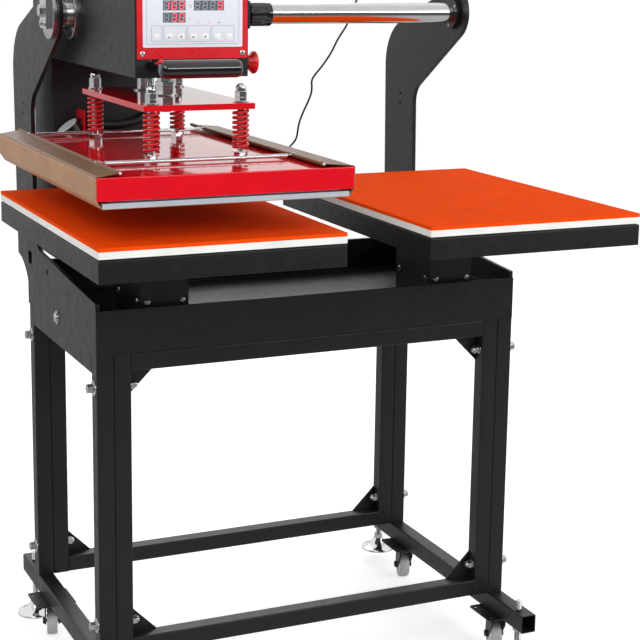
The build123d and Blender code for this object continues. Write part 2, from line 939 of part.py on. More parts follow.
socket = rod_x(
    bar_right - bar_socket_thickness, bar_right, bar_y, bar_z, bar_socket_diameter
)
socket -= rod_x(
    bar_right - 2 * bar_socket_thickness, bar_right + bar_socket_thickness, bar_y, bar_z,
    bar_diameter,
)
socket_screws = []
for step in range(socket_screw_count):
    angle = 2 * pi * (step + 0.5) / socket_screw_count
    radius = (bar_socket_diameter + bar_diameter) / 4
    y = bar_y + radius * sin(angle)
    z = bar_z + radius * cos(angle)
    screw = rod_x(bar_right - bar_socket_thickness - socket_screw_head_height,
                  bar_right - bar_socket_thickness, y, z, socket_screw_head)
    screw += rod_x(bar_right - bar_socket_thickness, bar_right, y, z, socket_screw_size)
    socket -= screw
    socket_screws.append(screw)
write("bar_socket", socket, *socket_screws)

# Lower guide: a flat rail on spacers behind the tray's rear panel
rail_top = tray_bottom + tray_rear_height - rail_below_panel_top
rail_bottom = rail_top - rail_height
rail_y = tray_rear_y + rail_standoff
rail_end = plate_inner_x - rail_margin
spacer_z = rail_bottom + spacer_diameter / 2 + spacer_edge
rail = block(-rail_end, rail_end, rail_y, rail_y + rail_thickness, rail_bottom, rail_top)
spacers = []
for step in range(spacer_count):
    x = -rail_end + rail_end / spacer_count * (2 * step + 1)
    spacers.append(rod_y(x, tray_rear_y, rail_y, spacer_z, spacer_diameter))
    screw = rod_y(x, rail_y, rail_y + rail_thickness, spacer_z, rail_screw_size)
    screw += rod_y(x, rail_y + rail_thickness, rail_y + rail_thickness + rail_screw_head_height,
                   spacer_z, rail_screw_head)
    rail -= screw
    spacers.append(screw)
write("lower_guide_rail", rail, *spacers)

# Castors
castor_corners = [
    (side, y, name)
    for y, depth_name in zip(castor_y, ("front", "rear"))
    for side, name in ((-1, f"{depth_name}_left"), (1, f"{depth_name}_right"))
]
plate_bottom_z = beam_bottom - castor_plate_thickness
cup_bottom_z = plate_bottom_z - swivel_cup_height
fork_top_z = cup_bottom_z - swivel_gap
castor_plates = []
wheel_z = wheel_diameter / 2
fork_inner = wheel_width / 2 + wheel_side_gap
fork_outer = fork_inner + fork_sheet


def castor_plate(x, y):
    """Square plate with its swivel cup and pin."""
    half = castor_plate_size / 2
    plate = block(x - half, x + half, y - half, y + half, plate_bottom_z, beam_bottom)
    plate = fillet(plate.edges().filter_by(Axis.Z), castor_plate_corner)
    for dx in (-1, 1):
        for dy in (-1, 1):
            place = castor_hole_spacing / 2
            plate -= rod_z(x + dx * place, y + dy * place, plate_bottom_z - castor_plate_thickness,
                           beam_bottom + castor_plate_thickness, castor_hole_size)
    plate += rod_z(x, y, cup_bottom_z, plate_bottom_z, swivel_cup_diameter)
    pin_bottom = fork_top_z - fork_sheet - swivel_gap - swivel_pin_head_height
    plate += rod_z(x, y, pin_bottom, cup_bottom_z, swivel_pin_diameter)
    plate += rod_z(x, y, pin_bottom, pin_bottom + swivel_pin_head_height, swivel_pin_head)
    return plate


def castor_fork(x, y):
    """Fork with its axle, turned to its resting yaw."""
    crown = rod_z(0, 0, fork_top_z - fork_sheet, fork_top_z, fork_crown_diameter)
    crown += block(
        -fork_outer, fork_outer, 0, castor_trail, fork_top_z - fork_sheet, fork_top_z
    )
    bore = swivel_pin_diameter + 2 * running_clearance
    crown -= rod_z(0, 0, fork_top_z - 2 * fork_sheet, fork_top_z + fork_sheet, bore)
    fork = crown
    for side in (-1, 1):
        outline = Polyline(
            (-fork_crown_diameter / 2 + fork_sheet, fork_top_z),
            (castor_trail + fork_leg_width / 2, fork_top_z),
            (castor_trail + fork_leg_width / 2, wheel_z),
            (castor_trail - fork_leg_width / 2, wheel_z),
            (-fork_crown_diameter / 2 + fork_sheet, fork_top_z - fork_shoulder),
            close=True,
        )
        cheek = extrude(Plane.YZ.offset(fork_inner) * make_face(outline), fork_sheet)
        cheek += rod_x(fork_inner, fork_outer, castor_trail, wheel_z, fork_leg_width)
        cheek -= rod_x(fork_inner - fork_sheet, fork_outer + fork_sheet, castor_trail, wheel_z,
                       axle_diameter)
        if side < 0:
            cheek = mirror(cheek, Plane.YZ)
        fork += cheek
    axle = rod_x(-fork_outer, fork_outer, castor_trail, wheel_z, axle_diameter)
    axle += hex_x(fork_outer, fork_outer + axle_head_height, castor_trail, wheel_z, axle_flats)
    axle += hex_x(-fork_outer - axle_head_height, -fork_outer, castor_trail, wheel_z, axle_flats)
    place = Pos(x, y, 0) * Rot(0, 0, -castor_yaw)
    return [place * fork, place * axle]


def castor_wheel(x, y):
    """Wheel with a rounded tread and hub faces."""
    radius = wheel_diameter / 2
    wheel = rod_x(-wheel_width / 2, wheel_width / 2, 0, 0, wheel_diameter)
    rims = wheel.edges().filter_by(GeomType.CIRCLE)
    wheel = fillet(rims, tread_radius)
    for side in (-1, 1):
        dish = rod_x(side * (wheel_width / 2 - hub_recess), side * wheel_width, 0, 0,
                     2 * (radius - tread_band))
        hub = rod_x(side * (wheel_width / 2 - hub_recess), side * wheel_width / 2, 0, 0,
                    hub_diameter)
        wheel -= dish - hub
    wheel -= rod_x(-wheel_width, wheel_width, 0, 0, axle_diameter + 2 * running_clearance)
    place = Pos(x, y, 0) * Rot(0, 0, -castor_yaw) * Pos(0, castor_trail, wheel_z)
    return place * wheel


for side, y, name in castor_corners:
    castor_plates.append(castor_plate(side * beam_x, y))
    write(f"castor_fork_{name}", *castor_fork(side * beam_x, y))
    write(f"castor_wheel_{name}", castor_wheel(side * beam_x, y))
write("castor_plates", *castor_plates)


# Levelling feet and their lock nuts
def levelling_foot(x, y, lift):
    """Disc, dome, neck and threaded stem of one foot."""
    rim = foot_disc_diameter / 2
    neck = foot_neck_diameter / 2
    dome = foot_disc_rim + foot_dome_height
    profile = make_face([
        Polyline((0, dome), (0, 0), (rim, 0), (rim, foot_disc_rim)),
        ThreePointArc(
            (rim, foot_disc_rim),
            ((rim + neck) / 2 - foot_dome_dish, foot_disc_rim + foot_dome_height * foot_dome_share),
            (neck, dome),
        ),
        Line((neck, dome), (0, dome)),
    ])
    foot = revolve(Plane.XZ * profile, Axis.Z)
    foot = Pos(x, y, lift) * foot
    foot += hex_z(x, y, lift + dome, lift + dome + foot_hex_height, foot_hex_flats)
    stem_top = beam_top + foot_stem_above
    foot += rod_z(x, y, lift + dome, stem_top + lift, foot_stem_diameter)
    return foot


foot_lifts = {"front_left": 0.0, "front_right": 0.0, "rear_left": 0.0, "rear_right": foot_lift}
lock_nuts = []
for y, depth_name in zip(foot_y, ("front", "rear")):
    for side, side_name in ((-1, "left"), (1, "right")):
        name = f"{depth_name}_{side_name}"
        x = side * beam_x
        write(f"levelling_foot_{name}", levelling_foot(x, y, foot_lifts[name]))
        nut = hex_z(x, y, beam_bottom - lock_nut_height, beam_bottom, lock_nut_flats)
        bore = foot_stem_diameter + 2 * running_clearance
        nut -= rod_z(x, y, beam_bottom - 2 * lock_nut_height, beam_bottom + tube_wall, bore)
        lock_nuts.append(nut)
write("foot_lock_nuts", *lock_nuts)

# Press head: welded inner frame
piston_bore = piston_rod_diameter + 2 * running_clearance
guide_bore = guide_column_diameter + 2 * running_clearance
frame_x0 = head_left + head_sheet
frame_x1 = head_right - head_sheet
frame_y0 = head_front_y + frame_front_margin
frame_y1 = head_rear_y
frame_z0 = head_bottom + head_sheet
frame_z1 = head_top - head_sheet
head_frame = block(frame_x0, frame_x1, frame_y0, frame_y1, frame_z0, frame_z0 + frame_plate)
head_frame += block(frame_x0, frame_x1, frame_y0, frame_y1, frame_z1 - frame_plate, frame_z1)
for side in (-1, 1):
    rib_x = head_x + side * frame_rib_spacing / 2
    head_frame += block(
        rib_x - frame_rib / 2, rib_x + frame_rib / 2, frame_y0, frame_y1, frame_z0, frame_z1
    )
bush_top = frame_z0 + frame_plate + bush_height
head_frame += rod_z(head_x, piston_y, frame_z0, bush_top, piston_rod_diameter + bush_wall)
head_frame += rod_z(head_x, guide_y, frame_z0, bush_top, guide_column_diameter + bush_wall)
for y, bore in ((piston_y, piston_bore), (guide_y, guide_bore)):
    head_frame -= rod_z(head_x, y, frame_z0 - frame_plate, frame_z1 + frame_plate, bore)
head_frame -= rod_x(head_left, head_right, bar_y, bar_z, bearing_sleeve_diameter)
write("head_frame", head_frame)

# Press head: sheet steel cover
shell = block(head_left, head_right, head_front_y, head_rear_y, head_bottom, head_top)
shell = fillet(shell.edges().filter_by(Axis.Z).group_by(Axis.Y)[0], shell_corner)
shell -= block(
    head_left + head_sheet, head_right - head_sheet, head_front_y + head_sheet,
    head_rear_y + head_sheet, head_bottom + head_sheet, head_top - head_sheet,
)
opening_y = piston_y - head_opening_width / 2
shell -= block(
    head_x - head_opening_width / 2, head_x + head_opening_width / 2,
    opening_y, opening_y + head_opening_length,
    head_bottom - head_sheet, head_bottom + 2 * head_sheet,
)
shell -= rod_x(head_left - cut_margin, head_right + cut_margin, bar_y, bar_z, bearing_sleeve_diameter)
shell -= rod_z(head_x, piston_y, frame_z1, head_top + head_sheet,
               piston_rod_diameter + bush_wall)

# Rear column: a closed steel box that carries the lower guide shoe
column_bottom = tray_bottom + tray_rear_height + panel_clearance
column = block(head_left, head_right, head_rear_y, column_rear_y, column_bottom, head_top)
column = fillet(column.edges().filter_by(Axis.Z), shell_corner)
column -= block(
    head_left + head_sheet, head_right - head_sheet, head_rear_y + head_sheet,
    column_rear_y - head_sheet, column_bottom + head_sheet, head_top - head_sheet,
)

shoe_y0 = rail_y - shoe_clearance - shoe_lip
shoe_y1 = rail_y + rail_thickness + shoe_clearance + shoe_back
shoe_bottom = rail_top - shoe_overlap
shoe = block(
    head_x - shoe_length / 2, head_x + shoe_length / 2, shoe_y0, shoe_y1,
    shoe_bottom, column_bottom,
)
shoe -= block(
    head_x - shoe_length, head_x + shoe_length,
    rail_y - shoe_clearance, rail_y + rail_thickness + shoe_clearance,
    shoe_bottom - shoe_clearance, rail_top + shoe_clearance,
)
write("guide_shoe", shoe)

# Bearings that run on the cross bar: a sleeve through the head and a ring at each wall
sleeve = rod_x(head_left, head_right, bar_y, bar_z, bearing_sleeve_diameter)
rings = []
ring_screws = []
for side, wall in ((-1, head_left), (1, head_right)):
    outer = wall + side * bearing_ring_thickness
    ring = rod_x(wall, outer, bar_y, bar_z, 2 * bearing_ring_radius)
    ring = chamfer(
        ring.faces().sort_by(Axis.X)[-1 if side > 0 else 0].edges(), ring_chamfer
    )
    for step in range(ring_screw_count):
        angle = 2 * pi * (step + 0.5) / ring_screw_count
        y = bar_y + ring_screw_radius * sin(angle)
        z = bar_z + ring_screw_radius * cos(angle)
        screw = rod_x(wall, outer, y, z, ring_screw_size)
        screw += rod_x(outer, outer + side * ring_screw_head_height, y, z, ring_screw_head)
        ring -= screw
        ring_screws.append(screw)
    rings.append(ring)
bar_bore = rod_x(
    head_left - 2 * bearing_ring_thickness, head_right + 2 * bearing_ring_thickness,
    bar_y, bar_z, bar_diameter + 2 * sliding_clearance,
)
write("bar_bearings", sleeve - bar_bore, *[ring - bar_bore for ring in rings], *ring_screws)

# Control front: red panel, keypad and screws
panel_x0 = head_x - panel_width / 2
panel_z0 = head_bottom + panel_bottom_height
panel_y0 = head_front_y - panel_thickness
panel = block(
    panel_x0, panel_x0 + panel_width, panel_y0, head_front_y, panel_z0, panel_z0 + panel_height
)
keypad_x0 = head_x - keypad_width / 2
keypad_z0 = panel_z0 + keypad_margin
keypad_y0 = panel_y0 - keypad_thickness
keypad = block(
    keypad_x0, keypad_x0 + keypad_width, keypad_y0, panel_y0, keypad_z0, keypad_z0 + keypad_height
)
keypad = fillet(keypad.edges().filter_by(Axis.Y), keypad_corner)
windows = (
    (temperature_window_offset, temperature_window_width, upper_window_height),
    (temperature_window_offset, temperature_window_width, lower_window_height),
    (counter_window_offset, counter_window_width, upper_window_height),
)
for offset, width, height in windows:
    x = head_x + offset
    z = keypad_z0 + height
    keypad -= block(
        x - width / 2, x + width / 2, keypad_y0 - window_relief, keypad_y0 + window_relief,
        z - window_height / 2, z + window_height / 2,
    )
for step in range(key_count):
    x = head_x + key_pitch * (step - (key_count - 1) / 2)
    z = keypad_z0 + key_row_height
    key = block(
        x - key_width / 2, x + key_width / 2, keypad_y0 - key_relief, keypad_y0,
        z - key_height / 2, z + key_height / 2,
    )
    keypad += key
write("keypad", keypad)

panel_screws = []
for side in (-1, 1):
    for z in (panel_z0 + panel_screw_margin, panel_z0 + panel_height - panel_screw_margin):
        x = head_x + side * (panel_width / 2 - panel_screw_margin)
        screw = rod_y(x, panel_y0, head_front_y + head_sheet, z, panel_screw_size)
        head = rod_y(x, panel_y0 - panel_screw_head_height, panel_y0, z, panel_screw_head)
        head = fillet(head.faces().sort_by(Axis.Y)[0].edges(), panel_screw_round)
        panel -= screw
        shell -= screw
        panel_screws.append(screw + head)
write("front_panel", panel, *panel_screws)

# Handle: bow with a thick grip and a thumb button in the grip's left end
grip_x0 = head_x + handle_grip_offset - handle_grip_length / 2
grip_x1 = grip_x0 + handle_grip_length
grip_y = head_front_y - handle_reach
grip_z = head_bottom + handle_arm_height
grip = rod_x(grip_x0, grip_x1, grip_y, grip_z, handle_grip_diameter)
grip = fillet(grip.edges().filter_by(GeomType.CIRCLE), grip_end_radius)
handle_flanges = []
handle_flange_diameter = 2 * (panel_bottom_height - handle_arm_height - handle_flange_margin)
for x in (grip_x0 + handle_grip_diameter / 2, grip_x1 - handle_grip_diameter / 2):
    flange_y = head_front_y - handle_flange_thickness
    grip += rod_y(x, grip_y, flange_y, grip_z, handle_arm_diameter)
    handle_flanges.append(rod_y(x, flange_y, head_front_y, grip_z, handle_flange_diameter))
thumb_place = Pos(grip_x0 + handle_grip_diameter / 2, grip_y, grip_z) * Rot(0, -thumb_button_tilt, 0)
thumb_button = rod_z(0, 0, thumb_button_foot, thumb_button_cap, thumb_button_diameter)
thumb_button = fillet(thumb_button.faces().sort_by(Axis.Z)[-1].edges(), thumb_button_round)
thumb_pocket = rod_z(
    0, 0, thumb_button_foot - thumb_button_travel - button_clearance, 2 * thumb_button_cap,
    thumb_button_diameter + 2 * button_clearance,
)
write("handle", grip - thumb_place * thumb_pocket, *handle_flanges)
write("thumb_button", thumb_place * thumb_button)

# Stop button and regulator knob on the head's right wall
stop_y = front_y + stop_button_setback
stop_z = head_bottom + stop_button_height
stop_seat = head_right + stop_button_travel + button_clearance
stop_face = head_right + stop_button_reach
stop_flare_end = stop_face - stop_cap_thickness
stop_button = rod_x(head_right - stop_stem_depth, stop_seat, stop_y, stop_z, stop_stem_diameter)
stop_button += rod_x(
    stop_seat, stop_flare_end - stop_cap_flare, stop_y, stop_z, stop_button_neck
)
stop_button += (
    Pos(stop_flare_end - stop_cap_flare / 2, stop_y, stop_z)
    * Rot(0, 90, 0)
    * Cone(stop_button_neck / 2, stop_button_diameter / 2, stop_cap_flare)
)
stop_cap = rod_x(stop_flare_end, stop_face, stop_y, stop_z, stop_button_diameter)
stop_button += fillet(stop_cap.faces().sort_by(Axis.X)[-1].edges(), stop_cap_round)
collar = rod_x(
    head_right, head_right + stop_collar_thickness, stop_y, stop_z, stop_collar_diameter
)
collar -= rod_x(
    head_right, head_right + 2 * stop_collar_thickness, stop_y, stop_z,
    stop_button_neck + 2 * button_clearance,
)
shell -= rod_x(
    head_right - 2 * head_sheet, head_right + head_sheet, stop_y, stop_z,
    stop_stem_diameter + 2 * button_clearance,
)
write("stop_button", stop_button)

knob_y = front_y + knob_setback
knob_z = head_bottom + knob_height
knob_seat = head_right + knob_flange_thickness
half_flange = knob_flange_size / 2
knob_flange = block(
    head_right, knob_seat, knob_y - half_flange, knob_y + half_flange,
    knob_z - half_flange, knob_z + half_flange,
)
knob_flange = fillet(knob_flange.edges().filter_by(Axis.X), knob_flange_corner)
spindle_bore = rod_x(
    head_right - 2 * knob_spindle_length, knob_seat + knob_gap, knob_y, knob_z,
    knob_spindle_diameter + 2 * running_clearance,
)
shell -= spindle_bore
knob_start = knob_seat + knob_gap
knob = rod_x(knob_start, knob_start + knob_length, knob_y, knob_z, knob_diameter)
knob = fillet(knob.edges().filter_by(GeomType.CIRCLE), knob_round)
for step in range(knob_groove_count):
    angle = 2 * pi * step / knob_groove_count
    y = knob_y + knob_diameter / 2 * sin(angle)
    z = knob_z + knob_diameter / 2 * cos(angle)
    knob -= rod_x(knob_start + knob_round, knob_start + knob_grip_length, y, z, knob_groove)
knob += rod_x(knob_seat + knob_neck_gap, knob_start, knob_y, knob_z, knob_neck_diameter)
knob += rod_x(head_right - knob_spindle_length, knob_start, knob_y, knob_z, knob_spindle_diameter)
write("regulator_knob", knob)
write("side_fittings", collar, knob_flange - spindle_bore)
write("head_shell", shell)

# Air cylinder on top of the head, with tie rods and nuts
cap_half = cylinder_cap_size / 2
lower_cap_top = head_top + cylinder_cap_height
tube_top = lower_cap_top + press_stroke + piston_thickness + 2 * piston_top_gap
cylinder_top = tube_top + cylinder_cap_height
cylinder_caps = []
for z0, z1 in ((head_top, lower_cap_top), (tube_top, cylinder_top)):
    cap = block(
        head_x - cap_half, head_x + cap_half, piston_y - cap_half, piston_y + cap_half, z0, z1
    )
    cap = fillet(cap.edges().filter_by(Axis.Z), cylinder_cap_corner)
    port_z = (z0 + z1) / 2
    cap -= rod_y(head_x, piston_y + cap_half - air_port_depth, piston_y + cap_half + cut_margin,
                 port_z, air_port_diameter)
    cylinder_caps.append(cap)
cylinder_caps[0] -= rod_z(
    head_x, piston_y, head_top - cut_margin, lower_cap_top + cut_margin, piston_bore
)
barrel = rod_z(head_x, piston_y, lower_cap_top, tube_top, cylinder_tube_diameter)
piston_diameter = cylinder_tube_diameter - 2 * cylinder_tube_wall
barrel -= rod_z(
    head_x, piston_y, lower_cap_top - cut_margin, tube_top + cut_margin, piston_diameter
)
tie_rods = []
for dx in (-1, 1):
    for dy in (-1, 1):
        x = head_x + dx * tie_rod_spacing / 2
        y = piston_y + dy * tie_rod_spacing / 2
        tie_rod = rod_z(x, y, head_top, cylinder_top + tie_nut_height + tie_rod_tip, tie_rod_diameter)
        nut = hex_z(x, y, cylinder_top, cylinder_top + tie_nut_height, tie_nut_flats) - tie_rod
        cylinder_caps = [cap - tie_rod for cap in cylinder_caps]
        tie_rods += [tie_rod, nut]
write("air_cylinder", barrel, *cylinder_caps, *tie_rods)

# Air fittings: an elbow in each port and the solenoid valve behind the cylinder
port_y = piston_y + cap_half
fittings = []
for cap_z in ((head_top + lower_cap_top) / 2, (tube_top + cylinder_top) / 2):
    fitting = rod_y(head_x, port_y - air_port_depth, port_y, cap_z, air_port_diameter)
    fitting += hex_y(head_x, port_y, port_y + fitting_hex_length, cap_z, fitting_flats)
    fitting += rod_y(head_x, port_y + fitting_hex_length, port_y + fitting_length, cap_z,
                     fitting_collar_diameter)
    fittings.append(fitting)
valve_y = piston_y + valve_distance
valve = block(
    head_x - valve_width / 2, head_x + valve_width / 2, valve_y, valve_y + valve_depth,
    head_top, head_top + valve_height,
)
coil = block(
    head_x + valve_width / 2, head_x + valve_width / 2 + coil_length,
    valve_y + coil_margin, valve_y + valve_depth - coil_margin,
    head_top + coil_margin, head_top + valve_height - coil_margin,
)
coil = fillet(coil.edges().filter_by(Axis.X), coil_round)
write("air_fittings", valve, coil, *fittings)

# Power inlet and main switch on the column's rear wall
inlet_z = head_top - inlet_drop
inlet = block(
    head_x - power_inlet_width / 2, head_x + power_inlet_width / 2,
    column_rear_y - head_sheet, column_rear_y + inlet_flange,
    inlet_z - power_inlet_height / 2, inlet_z + power_inlet_height / 2,
)
inlet -= block(
    head_x - inlet_socket_width / 2, head_x + inlet_socket_width / 2,
    column_rear_y - head_sheet + inlet_flange, column_rear_y + 2 * inlet_flange,
    inlet_z - inlet_socket_height / 2, inlet_z + inlet_socket_height / 2,
)
column -= block(
    head_x - power_inlet_width / 2, head_x + power_inlet_width / 2,
    column_rear_y - 2 * head_sheet, column_rear_y + head_sheet,
    inlet_z - power_inlet_height / 2, inlet_z + power_inlet_height / 2,
)
write("power_inlet", inlet)

# Press train: piston, rod, guide column, nuts and mid plate
piston_top = tube_top - piston_top_gap
rod_bottom = mid_plate_bottom - rod_nut_height - rod_end_length
piston = rod_z(head_x, piston_y, piston_top - piston_thickness, piston_top,
               piston_diameter - 2 * running_clearance)
press_rod = rod_z(head_x, piston_y, mid_plate_top, piston_top, piston_rod_diameter)
press_rod += rod_z(head_x, piston_y, rod_bottom, mid_plate_top, rod_thread_diameter)
washer_top = mid_plate_top + rod_washer_thickness
nut_top = washer_top + rod_nut_height
upper_parts = [
    rod_z(head_x, piston_y, mid_plate_top, washer_top, rod_washer_diameter),
    hex_z(head_x, piston_y, washer_top, nut_top, rod_nut_flats),
    hex_z(head_x, piston_y, nut_top, nut_top + jam_nut_height, rod_nut_flats),
    hex_z(head_x, piston_y, mid_plate_bottom - rod_nut_height, mid_plate_bottom, rod_nut_flats),
]
upper_parts = [piece - press_rod for piece in upper_parts]
guide_top = frame_z1 - guide_top_gap
guide = rod_z(head_x, guide_y, mid_plate_top, guide_top, guide_column_diameter)
guide += rod_z(head_x, guide_y, mid_plate_top, mid_plate_top + guide_flange_thickness,
               guide_flange_diameter)
guide_screw = rod_z(head_x, guide_y, mid_plate_bottom - guide_screw_head_height,
                    mid_plate_bottom, guide_screw_head)
guide_screw += rod_z(head_x, guide_y, mid_plate_bottom, mid_plate_top + guide_screw_depth,
                     guide_screw_size)
guide -= guide_screw
write("press_rods", piston - press_rod, press_rod, guide, guide_screw, *upper_parts)

bolt_places = [
    (head_x + dx * spring_spacing_x / 2, piston_y + dy * spring_spacing_y / 2)
    for dx in (-1, 1)
    for dy in (-1, 1)
]
mid_plate = block(
    head_x - mid_plate_width / 2, head_x + mid_plate_width / 2,
    piston_y - mid_plate_depth / 2, piston_y + mid_plate_depth / 2,
    mid_plate_bottom, mid_plate_top,
)
mid_plate = fillet(mid_plate.edges().filter_by(Axis.Z), mid_plate_corner)
mid_plate -= press_rod
mid_plate -= guide_screw
for x, y in bolt_places:
    mid_plate -= rod_z(x, y, mid_plate_bottom - cut_margin, mid_plate_top + cut_margin,
                       spring_bolt_diameter + 2 * spring_bolt_clearance)
write("mid_plate", mid_plate)

# Platen: steel cover over the heater plate
cover_x0 = head_x - cover_width / 2
cover_x1 = head_x + cover_width / 2
cover_y0 = front_y + cover_front_setback
cover_y1 = cover_y0 + cover_depth
cover = block(cover_x0, cover_x1, cover_y0, cover_y1, cover_bottom, cover_top)
cover = fillet(cover.edges().filter_by(Axis.Z), cover_corner)
cover = fillet(cover.faces().sort_by(Axis.Z)[-1].edges(), cover_sheet)
cover -= block(
    cover_x0 + cover_sheet, cover_x1 - cover_sheet, cover_y0 + cover_sheet, cover_y1 - cover_sheet,
    cover_bottom - cover_sheet, cover_top - cover_sheet,
)
for x, y in bolt_places:
    cover -= rod_z(x, y, cover_bottom, cover_top + cover_sheet, spring_bolt_diameter)
write("platen_cover", cover)

heater_x0 = head_x - heater_width / 2
heater_x1 = head_x + heater_width / 2
heater_y0 = cover_y0 + (cover_depth - heater_depth) / 2
heater_y1 = heater_y0 + heater_depth
core_top = cover_top - cover_sheet - heater_core_gap
heater = block(heater_x0, heater_x1, heater_y0, heater_y1, heater_bottom, heater_top)
heater += block(
    heater_x0 + heater_core_margin, heater_x1 - heater_core_margin,
    heater_y0 + heater_core_margin, heater_y1 - heater_core_margin, heater_top, core_top,
)
write("heater_plate", heater)

# Bolts through the springs: stud, flanged standoff and domed nut
spring_bolts = []
die_springs = []
for x, y in bolt_places:
    nut_seat = mid_plate_top + nut_seat_gap
    lock_bottom = nut_seat + acorn_washer_thickness
    hex_bottom = lock_bottom + lock_hex_height
    dome_bottom = hex_bottom + acorn_hex_height
    acorn_top = dome_bottom + acorn_dome_height
    stud = rod_z(x, y, core_top, dome_bottom, spring_bolt_diameter)
    stud += hex_z(x, y, hex_bottom, dome_bottom, acorn_flats)
    dome = rod_z(x, y, dome_bottom, acorn_top, acorn_dome_diameter)
    stud += fillet(dome.faces().sort_by(Axis.Z)[-1].edges(), acorn_dome_round)
    standoff = hex_z(x, y, cover_top, standoff_top - standoff_flange_thickness, standoff_flats)
    standoff += rod_z(
        x, y, standoff_top - standoff_flange_thickness, standoff_top, standoff_flange_diameter
    )
    washer = rod_z(x, y, nut_seat, lock_bottom, acorn_washer_diameter)
    lock_hex = hex_z(x, y, lock_bottom, hex_bottom, acorn_flats)
    spring_bolts += [stud, standoff - stud, washer - stud, lock_hex - stud]
    spring_radius = (spring_outer_diameter - spring_wire) / 2
    spring_z0 = standoff_top + spring_end_gap
    spring_z1 = mid_plate_bottom - spring_end_gap
    path = Helix(
        pitch=(spring_z1 - spring_z0 - spring_wire) / spring_turns,
        height=spring_z1 - spring_z0 - spring_wire,
        radius=spring_radius,
    )
    section = Plane(origin=path @ 0, z_dir=path % 0) * Circle(spring_wire / 2)
    coil_spring = sweep(section, path=path, is_frenet=True)
    die_springs.append(Pos(x, y, spring_z0 + spring_wire / 2) * coil_spring)
write("spring_bolts", *spring_bolts)
write("die_springs", *die_springs)

# Release sheet round the platen, with hem rods and tension springs
side_x0 = cover_x0 - sheet_clearance
side_x1 = cover_x1 + sheet_clearance
flap_z = cover_top + sheet_clearance
tip_z = cover_top + flap_rise
left_tip = side_x0 + left_flap_length
right_tip = side_x1 - right_flap_length
sheet_outline = Polyline(
    (left_tip, tip_z),
    (side_x0, flap_z),
    (side_x0, cover_bottom),
    (heater_x0, heater_bottom),
    (heater_x1, heater_bottom),
    (side_x1, cover_bottom),
    (side_x1, flap_z),
    (right_tip, tip_z),
    (right_tip, tip_z + sheet_thickness),
    (side_x1 + sheet_thickness, flap_z + sheet_thickness),
    (side_x1 + sheet_thickness, cover_bottom - sheet_thickness / 2),
    (heater_x1 + sheet_thickness / 2, heater_bottom - sheet_thickness),
    (heater_x0 - sheet_thickness / 2, heater_bottom - sheet_thickness),
    (side_x0 - sheet_thickness, cover_bottom - sheet_thickness / 2),
    (side_x0 - sheet_thickness, flap_z + sheet_thickness),
    (left_tip, tip_z + sheet_thickness),
    close=True,
)
sheet_y0 = cover_y0 + sheet_side_margin
sheet_y1 = cover_y1 - sheet_side_margin
sheet = extrude(Plane.XZ.offset(-sheet_y1) * make_face(sheet_outline), sheet_y1 - sheet_y0)
write("release_sheet", sheet)

hem_z = tip_z + sheet_thickness / 2
left_hem_x = left_tip + hem_rod_diameter / 2
right_hem_x = right_tip - hem_rod_diameter / 2
hem_parts = [
    rod_y(x, sheet_y0 - hem_rod_overhang, sheet_y1, hem_z, hem_rod_diameter)
    for x in (left_hem_x, right_hem_x)
]
for setback in (front_sheet_spring_setback, rear_sheet_spring_setback):
    hem_parts.append(
        rod_x(left_hem_x + hem_rod_diameter / 2, right_hem_x - hem_rod_diameter / 2,
              front_y + setback, hem_z, sheet_spring_diameter)
    )
write("sheet_tensioners", *hem_parts)

# Heater terminal on its bracket behind the platen, and the conduit to the column
bracket_x = head_x + terminal_offset
terminal_z = cover_top + terminal_rise
bracket = block(
    bracket_x, bracket_x + terminal_bracket_thickness, cover_y1, cover_y1 + terminal_bracket_width,
    cover_bottom, cover_top + terminal_bracket_rise,
)
bracket = fillet(bracket.edges().filter_by(Axis.X).group_by(Axis.Y)[-1], bracket_corner)
terminal_y = cover_y1 + terminal_bracket_width / 2
face_x = bracket_x - terminal_reach
face_place = Pos(face_x, terminal_y, terminal_z - terminal_face_drop) * Rot(0, -terminal_tilt, 0)
terminal = face_place * rod_z(0, 0, -terminal_depth, 0, terminal_diameter)
terminal += rod_x(face_x, bracket_x, terminal_y, terminal_z, terminal_neck_diameter)
terminal -= face_place * rod_z(0, 0, 0, terminal_diameter, 2 * terminal_diameter)
terminal -= block(
    bracket_x, bracket_x + terminal_diameter, terminal_y - terminal_diameter,
    terminal_y + terminal_diameter, terminal_z - 2 * terminal_diameter,
    terminal_z + 2 * terminal_diameter,
)
face_plate = face_place * rod_z(0, 0, 0, terminal_face_thickness, terminal_face_diameter)
spigot_end = bracket_x + terminal_bracket_thickness + spigot_length
spigot = rod_x(bracket_x + terminal_bracket_thickness, spigot_end, terminal_y, terminal_z,
               spigot_diameter)
write("heater_terminal", bracket, terminal, face_plate, spigot)

conduit_end_x = head_x + conduit_end_offset
conduit_run = conduit_end_x - spigot_end
conduit_route = [(spigot_end, terminal_y, terminal_z)]
for share, back, rise in conduit_course:
    conduit_route.append(
        (spigot_end + share * conduit_run, terminal_y + back, terminal_z + rise)
    )
conduit_route.append((conduit_end_x, head_rear_y, terminal_z + conduit_course[-1][2]))
write("heater_conduit", cord_tube("heater_conduit", conduit_route, conduit_diameter))

